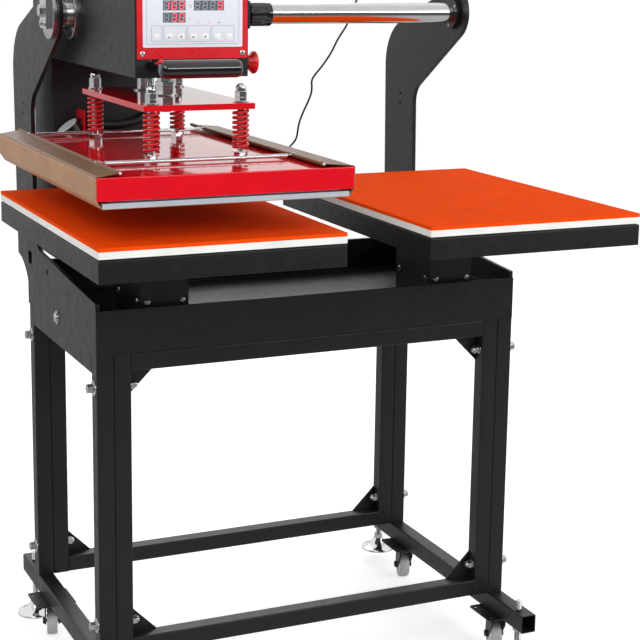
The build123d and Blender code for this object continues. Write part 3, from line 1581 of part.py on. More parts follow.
# Thin signal cord that hangs behind the stand, between two glands
upper_gland_y = front_y + upper_gland_setback
upper_gland_z = tray_bottom + upper_gland_height
lower_gland_z = tray_floor_top - lower_gland_drop
upper_gland = rod_z(plate_outer_x + gland_reach, upper_gland_y, upper_gland_z,
                    upper_gland_z + gland_length, gland_diameter)
upper_gland += rod_x(plate_outer_x, plate_outer_x + gland_reach, upper_gland_y,
                     upper_gland_z + gland_length / 2, gland_arm_diameter)
lower_gland = rod_y(lower_gland_x, tray_rear_y, tray_rear_y + gland_length, lower_gland_z,
                    gland_diameter)
write("cord_glands", upper_gland, lower_gland)
signal_route = [
    (plate_outer_x + gland_reach, upper_gland_y, upper_gland_z + gland_length),
    (plate_outer_x + gland_reach, upper_gland_y, 1202.0),
    (404.0, 203.0, 1246.0),
    (401.0, 243.0, 1282.0),
    (396.0, 292.0, 1306.0),
    (388.0, 341.0, 1312.0),
    (377.0, 384.0, 1294.0),
    (360.0, 396.5, 1262.0),
    (343.0, 396.0, 1236.0),
    (319.0, 394.0, 1214.0),
    (299.5, 392.0, 1161.0),
    (276.0, 391.0, 1131.0),
    (263.0, 391.0, 1104.0),
    (240.0, 391.0, 1073.0),
    (217.5, 391.0, 1050.0),
    (219.5, 391.0, 1031.0),
    (217.0, 391.0, 1015.0),
    (199.0, 391.0, 980.0),
    (190.0, 391.0, 957.0),
    (186.5, 391.0, 926.0),
    (169.0, 391.0, 911.0),
    (132.0, 391.0, 868.0),
    (102.0, 391.0, 820.0),
    (80.0, 390.0, 768.0),
    (63.0, 380.0, 712.0),
    (53.0, 366.0, 681.0),
    (lower_gland_x, 343.0, lower_gland_z),
    (lower_gland_x, tray_rear_y + gland_length, lower_gland_z),
]
write("signal_cord", cord_tube("signal_cord", signal_route, signal_cord_diameter))
write("rear_column", column)
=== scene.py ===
"""Looks of the pneumatic dual heat press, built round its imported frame."""
import json
import logging
import math
from collections.abc import Callable, Iterable, Sequence
from dataclasses import dataclass, field, replace
from enum import Enum
from functools import cache

import bmesh
import bpy
from mathutils import Matrix, Vector

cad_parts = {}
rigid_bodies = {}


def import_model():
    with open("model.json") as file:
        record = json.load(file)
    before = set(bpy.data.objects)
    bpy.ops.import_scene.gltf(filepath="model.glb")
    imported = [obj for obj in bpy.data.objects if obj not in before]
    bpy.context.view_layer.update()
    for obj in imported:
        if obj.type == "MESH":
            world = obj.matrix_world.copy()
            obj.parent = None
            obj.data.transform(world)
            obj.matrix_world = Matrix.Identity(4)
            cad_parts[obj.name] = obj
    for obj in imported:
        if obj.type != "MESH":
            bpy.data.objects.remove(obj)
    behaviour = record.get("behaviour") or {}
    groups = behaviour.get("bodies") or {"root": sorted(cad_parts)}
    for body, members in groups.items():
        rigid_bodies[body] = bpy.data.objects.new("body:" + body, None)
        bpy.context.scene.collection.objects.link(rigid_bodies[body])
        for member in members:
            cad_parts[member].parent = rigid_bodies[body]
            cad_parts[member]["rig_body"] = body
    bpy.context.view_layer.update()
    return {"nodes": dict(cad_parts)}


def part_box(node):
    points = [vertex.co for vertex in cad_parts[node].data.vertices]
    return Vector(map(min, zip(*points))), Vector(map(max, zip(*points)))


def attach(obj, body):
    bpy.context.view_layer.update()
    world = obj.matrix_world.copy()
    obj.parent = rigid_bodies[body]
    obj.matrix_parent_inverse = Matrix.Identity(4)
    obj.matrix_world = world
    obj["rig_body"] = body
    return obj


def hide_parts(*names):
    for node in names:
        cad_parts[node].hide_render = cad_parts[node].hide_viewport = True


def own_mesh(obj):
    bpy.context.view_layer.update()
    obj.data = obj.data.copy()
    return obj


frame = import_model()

LOG = logging.getLogger("heat_press")
MM = 0.001
WELD = 0.002 * MM
Colour = tuple[float, float, float]
Point = tuple[float, float, float]
Mesh = bmesh.types.BMesh


class Graph:
    """The nodes of one material or world, built in small steps."""

    def __init__(self, owner: bpy.types.Material | bpy.types.World) -> None:
        """Starts without nodes.

        Args:
            owner: The material or world.
        """
        owner.use_nodes = True
        self.tree = owner.node_tree
        self.tree.nodes.clear()

    def add(self, kind: str, **settings: object) -> bpy.types.Node:
        """Adds a node.

        Args:
            kind: The node's kind, without the words that every kind starts with.
            settings: The node's own settings.

        Returns:
            The new node.
        """
        node = self.tree.nodes.new(f"ShaderNode{kind}")
        for name, value in settings.items():
            setattr(node, name, value)
        return node

    def feed(self, node: bpy.types.Node, key: str | int, value: object) -> None:
        """Links a socket to an input, or sets the input to a plain value.

        Args:
            node: The node that has the input.
            key: The input's name or number.
            value: The socket or the plain value.
        """
        if isinstance(value, bpy.types.NodeSocket):
            self.tree.links.new(value, node.inputs[key])
        else:
            node.inputs[key].default_value = value

    def calc(self, operation: str, *values: object) -> bpy.types.NodeSocket:
        """Works out one sum.

        Args:
            operation: The sum's name, such as MULTIPLY.
            values: Numbers or sockets.

        Returns:
            The result's socket.
        """
        node = self.add("Math", operation=operation)
        for index, value in enumerate(values):
            self.feed(node, index, value)
        return node.outputs[0]

    def spread(self, value: object, low: float, high: float,
               start: float = 0.0, end: float = 1.0) -> bpy.types.NodeSocket:
        """Spreads a value over a range and clamps it.

        Args:
            value: A number or a socket.
            low: The result where the value is at its start.
            high: The result where the value is at its end.
            start: The value's start.
            end: The value's end.

        Returns:
            The result's socket.
        """
        node = self.add("MapRange")
        for index, entry in enumerate((value, start, end, low, high)):
            self.feed(node, index, entry)
        return node.outputs[0]

    def mix(self, share: object, first: object, second: object) -> bpy.types.NodeSocket:
        """Mixes two colours.

        Args:
            share: How much of the second colour there is.
            first: A triple or a socket.
            second: A triple or a socket.

        Returns:
            The mixed colour's socket.
        """
        node = self.add("Mix", data_type="RGBA")
        self.feed(node, 0, share)
        for index, colour in ((6, first), (7, second)):
            self.feed(node, index, (*colour, 1.0) if isinstance(colour, tuple) else colour)
        return node.outputs[2]


class Surface(Graph):
    """The nodes of one material with a Principled shader."""

    def __init__(self, name: str) -> None:
        """Starts a material with a bare shader.

        Args:
            name: The material's name.
        """
        self.material = bpy.data.materials.new(name)
        super().__init__(self.material)
        self.output = self.add("OutputMaterial")
        self.shader = self.add("BsdfPrincipled")
        self.feed(self.output, "Surface", self.shader.outputs["BSDF"])
        self.place = self.add("TexCoord").outputs["Object"]

    def noise(self, size: Point, detail: float = 2.0, rough: float = 0.5) -> bpy.types.NodeSocket:
        """Noise on Object coordinates.

        Args:
            size: The size of a grain along each axis, in metres.
            detail: How many finer layers it has.
            rough: How strong they are.

        Returns:
            The noise's socket, from 0 to 1.
        """
        stretched = self.add("Mapping")
        self.feed(stretched, 0, self.place)
        self.feed(stretched, 3, tuple(1.0 / side for side in size))
        node = self.add("TexNoise")
        self.feed(node, "Vector", stretched.outputs[0])
        self.feed(node, "Scale", 1.0)
        self.feed(node, "Detail", detail)
        self.feed(node, "Roughness", rough)
        return node.outputs[0]

    def along(self, axis: str) -> bpy.types.NodeSocket:
        """The Object coordinate along one axis, which is X, Y or Z."""
        parts = self.add("SeparateXYZ")
        self.feed(parts, 0, self.place)
        return parts.outputs[axis]

    def waves(self, axis: str, size: float) -> bpy.types.NodeSocket:
        """Sine bands from 0 to 1 across one axis.

        Args:
            axis: X, Y or Z.
            size: The length of one wave, in metres.

        Returns:
            The bands' socket.
        """
        turns = self.calc("MULTIPLY", self.along(axis), math.tau / size)
        return self.calc("MULTIPLY_ADD", self.calc("SINE", turns), 0.5, 0.5)

    def bump(self, height: object, depth: float) -> bpy.types.NodeSocket:
        """Relief from a height between 0 and 1.

        Args:
            height: The height's socket.
            depth: How deep the relief is, in metres.

        Returns:
            The normal's socket.
        """
        node = self.add("Bump")
        self.feed(node, "Strength", 1.0)
        self.feed(node, "Distance", depth)
        self.feed(node, "Height", height)
        return node.outputs[0]


@dataclass(frozen=True)
class Finish:
    """A painted, moulded or plated surface with a fine grain and slow changes of shade.

    Sizes are in metres. The spread of the roughness and the mottle are shares.
    """

    name: str
    colour: Colour
    roughness: float
    metallic: float = 0.0
    specular: float = 0.5
    coat: float = 0.0
    coat_roughness: float = 0.04
    sheen: float = 0.0
    mottle: float = 0.08
    mottle_size: float = 0.05
    roughness_spread: float = 0.15
    grain_size: Point = (0.0012, 0.0012, 0.0012)
    grain_depth: float = 0.00001
    glow: float = 0.0

    def height(self, graph: Surface) -> bpy.types.NodeSocket:
        """The height of the fine grain, from 0 to 1."""
        return graph.noise(self.grain_size, 2.0)

    def shade(self, graph: Surface) -> bpy.types.NodeSocket:
        """The colour with its slow changes."""
        slow = graph.noise((self.mottle_size,) * 3, 4.0, 0.6)
        low = tuple(part * (1.0 - self.mottle) for part in self.colour)
        high = tuple(min(1.0, part * (1.0 + self.mottle)) for part in self.colour)
        return graph.mix(graph.spread(slow, 0.0, 1.0, 0.35, 0.65), low, high)

    def gloss(self, graph: Surface) -> bpy.types.NodeSocket:
        """The roughness with its smears."""
        smear = graph.noise((self.mottle_size * 0.3,) * 3, 3.0, 0.55)
        low = max(0.02, self.roughness * (1.0 - self.roughness_spread))
        high = min(1.0, self.roughness * (1.0 + self.roughness_spread))
        return graph.spread(smear, low, high, 0.3, 0.7)

    def build(self) -> bpy.types.Material:
        """Makes the material.

        Returns:
            The finished material.
        """
        graph = Surface(self.name)
        shader = graph.shader
        graph.feed(shader, "Base Color", self.shade(graph))
        graph.feed(shader, "Roughness", self.gloss(graph))
        graph.feed(shader, "Metallic", self.metallic)
        graph.feed(shader, "Specular IOR Level", self.specular)
        graph.feed(shader, "Coat Weight", self.coat)
        graph.feed(shader, "Coat Roughness", self.coat_roughness)
        graph.feed(shader, "Sheen Weight", self.sheen)
        if self.grain_depth:
            graph.feed(shader, "Normal", graph.bump(self.height(graph), self.grain_depth))
        if self.glow:
            graph.feed(shader, "Emission Color", (*self.colour, 1.0))
            graph.feed(shader, "Emission Strength", self.glow)
        return graph.material


@dataclass(frozen=True)
class PowderCoat(Finish):
    """Baked powder with its orange peel and a few dust nibs."""

    peel_size: float = 0.004

    def height(self, graph: Surface) -> bpy.types.NodeSocket:
        """Orange peel with a finer grain on it."""
        peel = graph.noise((self.peel_size,) * 3, 1.0)
        fine = graph.noise(self.grain_size, 2.0)
        return graph.calc("MULTIPLY_ADD", fine, 0.35, peel)


@dataclass(frozen=True)
class Brushed(Finish):
    """Metal with fine lines drawn along one axis."""

    along: str = "X"
    line_length: float = 0.06
    line_width: float = 0.0005

    def lines(self, graph: Surface) -> bpy.types.NodeSocket:
        """Noise drawn out along the axis."""
        size = [self.line_width] * 3
        size["XYZ".index(self.along)] = self.line_length
        return graph.noise(tuple(size), 3.0, 0.6)

    def height(self, graph: Surface) -> bpy.types.NodeSocket:
        """The drawn lines."""
        return self.lines(graph)

    def gloss(self, graph: Surface) -> bpy.types.NodeSocket:
        """Roughness that follows the drawn lines."""
        low = max(0.02, self.roughness * (1.0 - self.roughness_spread))
        high = self.roughness * (1.0 + self.roughness_spread)
        return graph.spread(self.lines(graph), low, high, 0.3, 0.7)


@dataclass(frozen=True)
class GlassCloth(Finish):
    """Coated glass cloth: a plain weave of fine threads under a smooth skin.

    It is painted darker above a given height, as painted shade on the top of the sheet.
    """

    thread: float = 0.0011
    # The height above which the cloth's colour is painted darker, as painted shade.
    painted_shade_height: float = 0.0
    # The colour of that painted shade on the sheet's top.
    painted_shade_colour: Colour = (0.19, 0.088, 0.032)

    def weave(self, graph: Surface) -> bpy.types.NodeSocket:
        """Threads that pass over and under, from 0 to 1."""
        across = graph.waves("Y", self.thread)
        along = graph.calc("MULTIPLY", graph.waves("X", self.thread), graph.waves("Z", self.thread))
        return graph.calc("ABSOLUTE", graph.calc("SUBTRACT", across, along))

    def height(self, graph: Surface) -> bpy.types.NodeSocket:
        """The weave with slow ripples of the cloth."""
        ripple = graph.noise((0.03, 0.09, 0.03), 2.0)
        return graph.calc("MULTIPLY_ADD", self.weave(graph), 0.2, ripple)

    def shade(self, graph: Surface) -> bpy.types.NodeSocket:
        """Brown resin with lighter threads and scorched patches, and painted shade on its top."""
        slow = super().shade(graph)
        dark = tuple(part * 0.72 for part in self.colour)
        woven = graph.mix(graph.calc("MULTIPLY", self.weave(graph), 0.25), slow, dark)
        # Painted shade: above the given height the cloth takes the darker painted colour.
        top = graph.spread(graph.along("Z"), 0.0, 1.0, self.painted_shade_height - MM, self.painted_shade_height)
        return graph.mix(top, woven, self.painted_shade_colour)


@dataclass(frozen=True)
class Silicone(Finish):
    """Moulded silicone sheet with a fine fabric print and faint press marks."""

    print_size: float = 0.0009

    def height(self, graph: Surface) -> bpy.types.NodeSocket:
        """The print left by the mould's cloth."""
        rows = graph.calc("MULTIPLY", graph.waves("X", self.print_size),
                          graph.waves("Y", self.print_size))
        return graph.calc("MULTIPLY_ADD", rows, 0.4, graph.noise((0.004,) * 3, 3.0))


@dataclass(frozen=True)
class FibreBoard(Finish):
    """Pressed heat board whose edge shows thin layers."""

    layer: float = 0.0016

    def height(self, graph: Surface) -> bpy.types.NodeSocket:
        """Layers with short fibres between them."""
        fibres = graph.noise((0.004, 0.004, 0.0006), 4.0, 0.7)
        return graph.calc("MULTIPLY_ADD", graph.waves("Z", self.layer), 0.25, fibres)


@dataclass(frozen=True)
class Finishes:
    """Every finish on the press."""

    frame: Finish = PowderCoat("powder_black", (0.0075, 0.0075, 0.008), 0.4, specular=0.45,
                               mottle=0.07, grain_depth=0.00001)
    shell: Finish = PowderCoat("powder_charcoal", (0.012, 0.013, 0.0145), 0.45, specular=0.42,
                               mottle=0.07, grain_depth=0.00001)
    enamel: Finish = PowderCoat("red_enamel", (0.72, 0.003, 0.012), 0.07, coat=0.35,
                                mottle=0.04, grain_depth=0.000002, peel_size=0.009)
    panel: Finish = PowderCoat("red_panel", (0.70, 0.005, 0.014), 0.3, mottle=0.04,
                               grain_depth=0.000006)
    spring: Finish = PowderCoat("red_spring_paint", (0.60, 0.004, 0.008), 0.2, coat=0.3,
                                mottle=0.1, grain_depth=0.00001)
    chrome: Finish = Finish("chrome", (0.80, 0.80, 0.82), 0.06, metallic=1.0, mottle=0.04,
                            roughness_spread=0.4, grain_depth=0.000001)
    bar_chrome: Finish = Brushed("bar_chrome", (0.74, 0.75, 0.77), 0.12, metallic=1.0,
                                 mottle=0.04, roughness_spread=0.35, grain_depth=0.000001,
                                 along="X", line_length=0.2)
    steel: Finish = Brushed("turned_steel", (0.52, 0.52, 0.53), 0.28, metallic=1.0,
                            mottle=0.06, roughness_spread=0.3, grain_depth=0.000004,
                            along="X", line_length=0.0004, line_width=0.004)
    zinc: Finish = Finish("zinc_plate", (0.62, 0.63, 0.64), 0.27, metallic=1.0, mottle=0.14,
                          mottle_size=0.012, roughness_spread=0.35, grain_depth=0.000006)
    aluminium: Finish = Brushed("brushed_aluminium", (0.74, 0.75, 0.77), 0.3, metallic=1.0,
                                mottle=0.05, roughness_spread=0.3, grain_depth=0.000004,
                                along="Z", line_length=0.05)
    heater: Finish = Brushed("heater_aluminium", (0.60, 0.64, 0.70), 0.34, metallic=0.35,
                             mottle=0.05, roughness_spread=0.25, grain_depth=0.000004,
                             along="X", line_length=0.08)
    silicone: Finish = Silicone("orange_silicone", (0.88, 0.074, 0.003), 0.8, specular=0.02,
                                mottle=0.03, grain_depth=0.00002)
    board: Finish = FibreBoard("heat_board", (0.84, 0.84, 0.80), 0.7, specular=0.3, mottle=0.05,
                               grain_depth=0.00008)
    cloth: Finish = GlassCloth("release_cloth", (0.47, 0.25, 0.13), 0.34, specular=0.15,
                               mottle=0.08, mottle_size=0.09, grain_depth=0.00003)
    grip: Finish = Finish("dipped_grip", (0.004, 0.004, 0.005), 0.07, coat=1.0, mottle=0.1,
                          grain_depth=0.000003)
    button: Finish = Finish("moulded_red", (0.62, 0.006, 0.01), 0.22, coat=0.3, mottle=0.05,
                            grain_depth=0.000004)
    fitting: Finish = Finish("moulded_black", (0.010, 0.010, 0.011), 0.36, mottle=0.15,
                             grain_size=(0.0005,) * 3, grain_depth=0.00002)
    tread: Finish = Finish("castor_tread", (0.42, 0.42, 0.43), 0.5, mottle=0.1,
                           mottle_size=0.01, grain_depth=0.00003)
    hub: Finish = Finish("castor_hub", (0.78, 0.78, 0.78), 0.35, mottle=0.04,
                         grain_depth=0.00001)
    nylon: Finish = Finish("nylon", (0.80, 0.79, 0.74), 0.4, mottle=0.05, grain_depth=0.00001)
    sheath: Finish = Finish("cord_sheath", (0.010, 0.010, 0.010), 0.45, mottle=0.1,
                            grain_size=(0.0008,) * 3, grain_depth=0.00003)
    overlay: Finish = Finish("keypad_overlay", (0.80, 0.85, 0.92), 0.2, coat=0.2, mottle=0.02,
                             grain_size=(0.0004,) * 3, grain_depth=0.000005)
    key: Finish = Finish("key_face", (0.90, 0.92, 0.95), 0.22, mottle=0.02,
                         grain_depth=0.000004)
    ink: Finish = Finish("printed_grey", (0.17, 0.19, 0.22), 0.4, mottle=0.05,
                         grain_depth=0.000002)
    mark: Finish = Finish("printed_black", (0.02, 0.02, 0.025), 0.4, mottle=0.05,
                          grain_depth=0.000002)
    glass: Finish = Finish("display_window", (0.125, 0.135, 0.16), 0.12, mottle=0.04,
                           grain_depth=0.000001)
    unlit: Finish = Finish("unlit_segment", (0.34, 0.36, 0.39), 0.3, mottle=0.03,
                           grain_depth=0.000001)
    lit: Finish = Finish("lit_segment", (1.0, 0.10, 0.13), 0.3, mottle=0.02,
                         grain_depth=0.000001, glow=0.75)
    porcelain: Finish = Finish("terminal_face", (0.84, 0.85, 0.86), 0.14, coat=0.4,
                               mottle=0.03, grain_depth=0.000003)


FINISH = Finishes()


@cache
def material(finish: Finish) -> bpy.types.Material:
    """The one material of a finish."""
    return finish.build()


def spun(profile: Sequence[tuple[float, float]], steps: int = 48, ring: bool = False) -> Mesh:
    """Turns a profile about Z.

    Args:
        profile: Points of radius and height, from axis to axis unless it is a ring.
        steps: How many steps the turn has.
        ring: Whether the profile closes on itself.

    Returns:
        The closed solid.
    """
    mesh = bmesh.new()
    verts = [mesh.verts.new((radius, 0.0, height)) for radius, height in profile]
    pairs = list(zip(verts, verts[1:])) + ([(verts[-1], verts[0])] if ring else [])
    edges = [mesh.edges.new(pair) for pair in pairs]
    bmesh.ops.spin(mesh, geom=verts + edges, cent=(0, 0, 0), axis=(0, 0, 1), angle=math.tau,
                   steps=steps, use_merge=True)
    bmesh.ops.remove_doubles(mesh, verts=mesh.verts, dist=0.001 * MM)
    bmesh.ops.recalc_face_normals(mesh, faces=mesh.faces)
    return mesh


def prism(outline: Sequence[tuple[float, float]], height: float, chamfer: float = 0.0) -> Mesh:
    """Raises an outline in XY to a height along Z.

    Args:
        outline: Points in order round the outline.
        height: How far it is raised.
        chamfer: The width of a bevel round both ends.

    Returns:
        The closed solid.
    """
    mesh = bmesh.new()
    face = mesh.faces.new([mesh.verts.new((x, y, 0.0)) for x, y in outline])
    raised = bmesh.ops.extrude_face_region(mesh, geom=[face])["geom"]
    verts = [part for part in raised if isinstance(part, bmesh.types.BMVert)]
    bmesh.ops.translate(mesh, verts=verts, vec=(0.0, 0.0, height))
    bmesh.ops.recalc_face_normals(mesh, faces=mesh.faces)
    if chamfer:
        ends = [edge for edge in mesh.edges if abs(edge.verts[0].co.z - edge.verts[1].co.z) < 1e-7]
        bmesh.ops.bevel(mesh, geom=ends, offset=chamfer, segments=2, profile=0.5,
                        affect="EDGES", material=-1)
    return mesh


def polygon(sides: int, flats: float) -> list[tuple[float, float]]:
    """A regular outline.

    Args:
        sides: How many sides it has.
        flats: Its width across the flats.

    Returns:
        Its points in order.
    """
    radius = flats / 2 / math.cos(math.pi / sides)
    steps = [math.tau * step / sides for step in range(sides)]
    return [(radius * math.cos(angle), radius * math.sin(angle)) for angle in steps]


def slab(low: Sequence[float], high: Sequence[float], edge: float) -> Mesh:
    """A box with rounded edges.

    Args:
        low: Its lowest corner.
        high: Its highest corner.
        edge: The width of the rounding.

    Returns:
        The closed solid.
    """
    mesh = bmesh.new()
    middle = (Vector(low) + Vector(high)) / 2
    size = [abs(end - start) for start, end in zip(low, high)]
    bmesh.ops.create_cube(mesh, size=1.0,
                          matrix=Matrix.Translation(middle) @ Matrix.Diagonal((*size, 1.0)))
    bmesh.ops.bevel(mesh, geom=mesh.edges[:], offset=edge, segments=2, profile=0.5,
                    affect="EDGES", material=-1)
    return mesh


def facing(axis: Sequence[float], place: Sequence[float]) -> Matrix:
    """The matrix that turns +Z to an axis and moves the origin to a place."""
    turn = Vector((0.0, 0.0, 1.0)).rotation_difference(Vector(axis)).to_matrix().to_4x4()
    return Matrix.Translation(Vector(place)) @ turn


def tube(path: Sequence[Vector], radii: Sequence[float], sides: int) -> Mesh:
    """A closed tube along a path, with a radius for each point.

    Args:
        path: The points of its middle line.
        radii: The radius at each point.
        sides: How many sides its section has.

    Returns:
        The closed solid.
    """
    mesh = bmesh.new()
    rings = []
    side = (path[1] - path[0]).orthogonal().normalized()
    for index, point in enumerate(path):
        before, after = path[max(0, index - 1)], path[min(len(path) - 1, index + 1)]
        forward = (after - before).normalized()
        side = (side - forward * side.dot(forward)).normalized()
        up = forward.cross(side)
        angles = [math.tau * step / sides for step in range(sides)]
        rings.append([
            mesh.verts.new(point + (side * math.cos(angle) + up * math.sin(angle)) * radii[index])
            for angle in angles
        ])
    loops = [
        [mesh.edges.new((ring[step], ring[(step + 1) % sides])) for step in range(sides)]
        for ring in rings
    ]
    for lower, upper in zip(loops, loops[1:]):
        bmesh.ops.bridge_loops(mesh, edges=lower + upper)
    mesh.faces.new(rings[0])
    mesh.faces.new(rings[-1])
    bmesh.ops.recalc_face_normals(mesh, faces=mesh.faces)
    return mesh


def coil(radius: float, wire: float, pitch: float, length: float, around: int, sides: int) -> Mesh:
    """A helical spring about Z from height 0.

    Args:
        radius: From the axis to the wire's middle.
        wire: The wire's thickness.
        pitch: The rise of one turn.
        length: The height from end to end.
        around: How many steps one turn has.
        sides: How many sides the wire has.

    Returns:
        The closed solid.
    """
    turns = length / pitch
    count = max(1, round(turns))
    twist, rise = math.tau * turns / count, length / count
    turn = bmesh.new()
    circle = bmesh.ops.create_circle(
        turn, segments=sides, radius=wire / 2,
        matrix=Matrix.Translation((radius, 0.0, 0.0)) @ Matrix.Rotation(math.pi / 2, 4, "X"),
    )["verts"]
    edges = list({edge for vert in circle for edge in vert.link_edges})
    bmesh.ops.spin(turn, geom=circle + edges, cent=(0, 0, 0), axis=(0, 0, 1), angle=twist,
                   dvec=(0, 0, rise / around), steps=around, use_merge=False)
    mesh = bmesh.new()
    for index in range(count):
        carrier = bpy.data.meshes.new("turn")
        turn.to_mesh(carrier)
        carrier.transform(Matrix.Translation((0, 0, rise * index))
                          @ Matrix.Rotation(twist * index, 4, "Z"))
        mesh.from_mesh(carrier)
        bpy.data.meshes.remove(carrier)
    turn.free()
    bmesh.ops.remove_doubles(mesh, verts=mesh.verts, dist=WELD)
    ends = [edge for edge in mesh.edges if edge.is_boundary]
    bmesh.ops.holes_fill(mesh, edges=ends, sides=sides)
    bmesh.ops.recalc_face_normals(mesh, faces=mesh.faces)
    return mesh


def solid_object(mesh: Mesh, name: str) -> bpy.types.Object:
    """Links a mesh to the scene as an object.

    Args:
        mesh: The mesh, which is used up.
        name: The object's name.

    Returns:
        The object.
    """
    data = bpy.data.meshes.new(name)
    mesh.to_mesh(data)
    mesh.free()
    thing = bpy.data.objects.new(name, data)
    bpy.context.scene.collection.objects.link(thing)
    return thing


def carved(target: Mesh, cutter: Mesh) -> Mesh:
    """Cuts one closed mesh out of another.

    Args:
        target: What is cut, which is used up.
        cutter: What cuts it, which is used up.

    Returns:
        What is left of the target.
    """
    body, tool = solid_object(target, "carved_body"), solid_object(cutter, "carving_tool")
    cut = body.modifiers.new("cut", "BOOLEAN")
    cut.object, cut.operation, cut.solver = tool, "DIFFERENCE", "EXACT"
    view = bpy.context.evaluated_depsgraph_get()
    result = bmesh.new()
    result.from_mesh(body.evaluated_get(view).to_mesh())
    for thing in (body, tool):
        data = thing.data
        bpy.data.objects.remove(thing)
        bpy.data.meshes.remove(data)
    return result


class Recess(Enum):
    """The drive in a screw's head."""

    CROSS = "cross"
    SOCKET = "socket"


def screw_head(diameter: float, height: float, recess: Recess) -> Mesh:
    """A domed screw head that stands on Z = 0.

    Args:
        diameter: The head's diameter.
        height: Its height.
        recess: Its drive.

    Returns:
        The head with its drive cut in.
    """
    radius = diameter / 2
    dome = [(radius * math.cos(step), height * (0.35 + 0.65 * math.sin(step)))
            for step in (math.pi / 2 * part / 8 for part in range(1, 9))]
    head = spun([(0.0, 0.0), (radius, 0.0), (radius, height * 0.35), *dome[:-1], (0.0, height)], 32)
    reach, width = radius * 0.62, radius * 0.17
    if recess is Recess.SOCKET:
        tool = prism(polygon(6, radius * 0.95), height)
    else:
        tool = prism([(-reach, -width), (-width, -width), (-width, -reach), (width, -reach),
                      (width, -width), (reach, -width), (reach, width), (width, width),
                      (width, reach), (-width, reach), (-width, width), (-reach, width)], height)
    bmesh.ops.translate(tool, verts=tool.verts, vec=(0.0, 0.0, height * 0.42))
    return carved(head, tool)


def thread(radius: float, pitch: float, low: float, high: float) -> list[tuple[float, float]]:
    """The profile of a thread.

    Args:
        radius: The radius of its crests.
        pitch: The height of one ridge.
        low: The height where it starts.
        high: The height where it ends.

    Returns:
        Points of radius and height.
    """
    count = max(2, round((high - low) / pitch))
    step = (high - low) / count
    points = []
    for index in range(count):
        points += [(radius - pitch * 0.45, low + index * step),
                   (radius, low + (index + 0.5) * step)]
    return [*points, (radius - pitch * 0.45, high)]


def body_of(node: str) -> str:
    """The body that a CAD node rides on."""
    return frame["nodes"][node]["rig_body"]


def partners(mesh: Mesh) -> dict[bmesh.types.BMFace, set[bmesh.types.BMFace]]:
    """The neighbours of each face in its own solid, though touching solids share their edges.

    The neighbour across an edge is the first face met on a turn through the solid's inside.

    Args:
        mesh: The mesh, with its normals and face numbers up to date.

    Returns:
        Each face's neighbours.
    """
    twins = bmesh.ops.find_doubles(mesh, verts=mesh.verts, dist=WELD)["targetmap"]
    users: dict[tuple, list] = {}
    for face in mesh.faces:
        for loop in face.loops:
            start, end = loop.vert, loop.link_loop_next.vert
            users.setdefault((twins.get(start, start), twins.get(end, end)), []).append(face)
    near: dict = {face: set() for face in mesh.faces}
    for (start, end), faces in users.items():
        along = (end.co - start.co).normalized()
        for face in faces:
            inward = face.normal.cross(along)
            turns = []
            for other in users.get((end, start), ()):
                side = along.cross(other.normal)
                turn = math.atan2(-side.dot(face.normal), side.dot(inward)) % math.tau
                turns.append((turn if turn > 0.01 else math.tau, other.index, other))
            if turns:
                found = min(turns)[2]
                near[face].add(found)
                near[found].add(face)
    return near


def groups(mesh: Mesh) -> list[list[bmesh.types.BMFace]]:
    """Parts a mesh into its separate solids.

    Args:
        mesh: The mesh, whose solids share no vertices afterwards.

    Returns:
        The faces of each solid.
    """
    mesh.faces.index_update()
    mesh.normal_update()
    near = partners(mesh)
    left = dict.fromkeys(mesh.faces)
    found = []
    while left:
        stack = [left.popitem()[0]]
        group = []
        while stack:
            face = stack.pop()
            group.append(face)
            for other in near[face]:
                if other in left:
                    del left[other]
                    stack.append(other)
        found.append(group)
    parted = [bmesh.ops.split(mesh, geom=group, use_only_faces=True)["geom"] for group in found]
    return [[part for part in group if isinstance(part, bmesh.types.BMFace)] for group in parted]


Chooser = Callable[[list[float], Vector], Finish | None]


